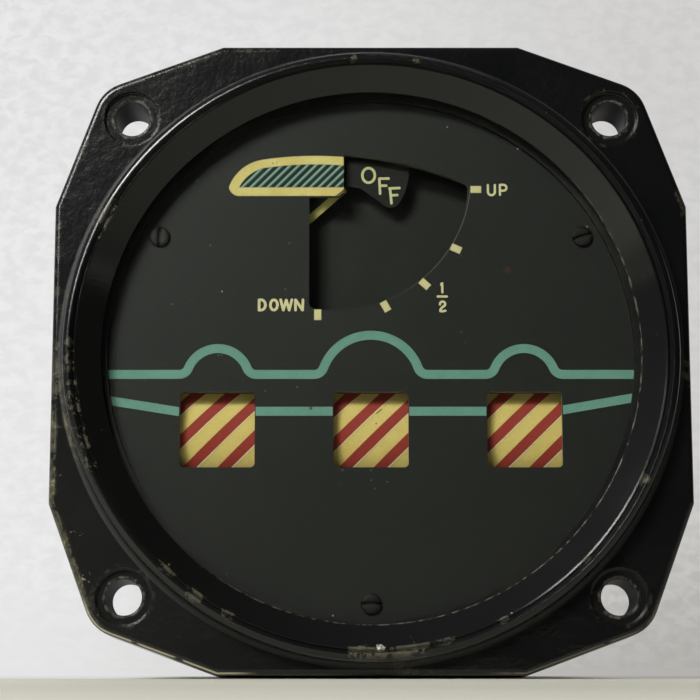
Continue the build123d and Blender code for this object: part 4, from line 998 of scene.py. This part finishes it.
def floor_material():
    """Pale greenish table top, and the ground behind its edge, which shows the wall's tone."""
    g = Graph("table_top")
    far = g.step(g.y, TABLE_END - 1.0, TABLE_END + 1.0)
    # Painted light: beside the part the table top partly glows, which lifts the part's cast shadow
    # there.
    beside = g.times(g.step(g.size(g.x), 24.0, 36.0), g.step(g.y, 4.0, 12.0))
    beyond = g.most(g.step(g.y, TABLE_END, TABLE_END + 12.0), g.times(beside, 0.75))
    clouds = g.noise(60.0, 2.0, 0.5)
    fine = g.noise(1.5, 3.0, 0.6)
    near = g.mix(clouds, srgb(195, 193, 181), srgb(189, 187, 176))
    # Painted light: the table top is painted paler towards the part, against the shade the part
    # casts on it.
    near = g.mix(g.step(g.y, -120.0, -15.0), near, srgb(221, 219, 205))
    colour = g.mix(far, near, srgb(236, 236, 233))
    colour = g.mix(g.times(g.step(fine, 0.5, 0.8), 0.1), colour, srgb(190, 188, 178))
    g.finish(colour, g.total(g.times(fine, 0.1), 0.6), g.bump(fine, 0.03), specular=0.15)
    behind = g.math("DIVIDE", g.times(g.x, WALL_Y + EYE_BACK), g.total(g.y, EYE_BACK))
    tone = wall_tone(g, g.step(behind, -WALL_HALF, WALL_HALF), 0.9)
    tone = g.mix(g.step(g.y, -290.0, -310.0), tone, srgb(222, 221, 216))
    shown = g.most(beyond, g.step(g.y, -320.0, -700.0))
    with_glow(g, tone, 1.0, g.times(shown, shown_rays(g)), g.shader)
    return g.material


def wall_material():
    """Off-white glowing wall whose fine raised texture is painted as paler lit bumps, darker at the
    top left.
    """
    g = Graph("wall")
    g.tree.nodes.remove(g.shader)
    bumps = g.step(g.noise(9.0, 3.0, 0.55, 0.4, stretch=(1.0, 1.0, 1.5)), 0.35, 0.65)
    clouds = g.noise(60.0, 2.0, 0.5, shift=40.0)
    across = g.step(g.x, -WALL_HALF, WALL_HALF)
    tone = wall_tone(g, across, g.step(g.z, 130.0, -5.0))
    high_left = g.times(g.step(g.z, 130.0, 340.0), g.minus(1.0, across))
    tone = g.mix(g.times(high_left, 0.7), tone, srgb(218, 219, 219))
    pale = g.mix(across, srgb(242, 242, 242), srgb(216, 215, 213))
    # Painted highlights on the tops of the wall's raised texture.
    light = g.times(bumps, g.math("MULTIPLY_ADD", clouds, 0.5, 0.25),
                    g.step(g.z, -5.0, 60.0, 0.3, 1.0))
    tone = g.mix(light, tone, pale)
    plain = g.add("ShaderNodeBsdfDiffuse")
    plain.inputs["Color"].default_value = srgb(225, 225, 222)
    with_glow(g, tone, 1.0, 1.0, plain)
    return g.material


def floor_height(y):
    """Height of the floor, on which the part leans back a little."""
    return FLOOR_Z + (y - FLANGE_BACK) * FLOOR_SLOPE


def stage_row(y, z):
    """The left and right end of a level line across the stage."""
    return [(-STAGE_REACH, y, z), (STAGE_REACH, y, z)]


sheet("floor", stage_row(-STAGE_REACH, floor_height(-STAGE_REACH))
      + stage_row(WALL_Y, floor_height(WALL_Y))[::-1], floor_material())
sheet("backdrop", stage_row(WALL_Y, WALL_FOOT) + stage_row(WALL_Y, STAGE_REACH)[::-1],
      wall_material())


def world_light():
    """A dim fill that is stronger from the upper left back; seen or mirrored, it is pale."""
    world = bpy.data.worlds.new("world")
    world.use_nodes = True
    bpy.context.scene.world = world
    g = Nodes(world.node_tree)
    ray = g.add("ShaderNodeLightPath").outputs
    heading = g.add("ShaderNodeTexCoord").outputs["Generated"]
    fill = g.add("ShaderNodeBackground")
    fill.inputs["Color"].default_value = (0.93, 0.97, 1.0, 1)
    toward = g.vector("DOT_PRODUCT", heading, (-0.76, 0.45, 0.47))
    g.wire(g.step(toward, -0.35, 1.0, 0.03, 0.27), fill.inputs["Strength"])
    pale = g.add("ShaderNodeBackground")
    pale.inputs["Color"].default_value = srgb(226, 226, 224)
    pale.inputs["Strength"].default_value = 1.0
    axes = g.add("ShaderNodeSeparateXYZ")
    g.wire(heading, axes.inputs[0])
    behind = g.add("ShaderNodeMapRange")
    behind.inputs["From Min"].default_value = 0.3
    behind.inputs["From Max"].default_value = 0.8
    g.wire(axes.outputs["Y"], behind.inputs["Value"])
    seen = g.most(ray["Is Camera Ray"], ray["Is Transmission Ray"])
    mirrored = g.times(ray["Is Glossy Ray"], behind.outputs[0])
    choice = g.add("ShaderNodeMixShader")
    g.wire(g.most(seen, mirrored), choice.inputs[0])
    g.wire(fill.outputs[0], choice.inputs[1])
    g.wire(pale.outputs[0], choice.inputs[2])
    g.wire(choice.outputs[0], g.add("ShaderNodeOutputWorld").inputs["Surface"])


world_light()


def lamp(name, direction, distance, width, height, power, colour):
    """An oval area lamp that shines along direction onto the middle of the frame."""
    data = bpy.data.lights.new(name, "AREA")
    data.shape = "ELLIPSE"
    data.size = width
    data.size_y = height
    data.energy = power
    data.color = colour
    lamp_object = bpy.data.objects.new(name, data)
    heading = Vector(direction).normalized()
    lamp_object.location = -heading * distance
    lamp_object.rotation_mode = "QUATERNION"
    lamp_object.rotation_quaternion = heading.to_track_quat("-Z", "Y")
    bpy.context.scene.collection.objects.link(lamp_object)
    return lamp_object


lamp("key_lamp", (0.56, 1.0, -0.69), 0.55, 0.26, 0.11, 2.6, (1.0, 0.985, 0.95))
lamp("side_lamp", (0.68, 1.0, -0.41), 0.34, 0.04, 0.06, 0.2, (0.95, 0.98, 1.0))
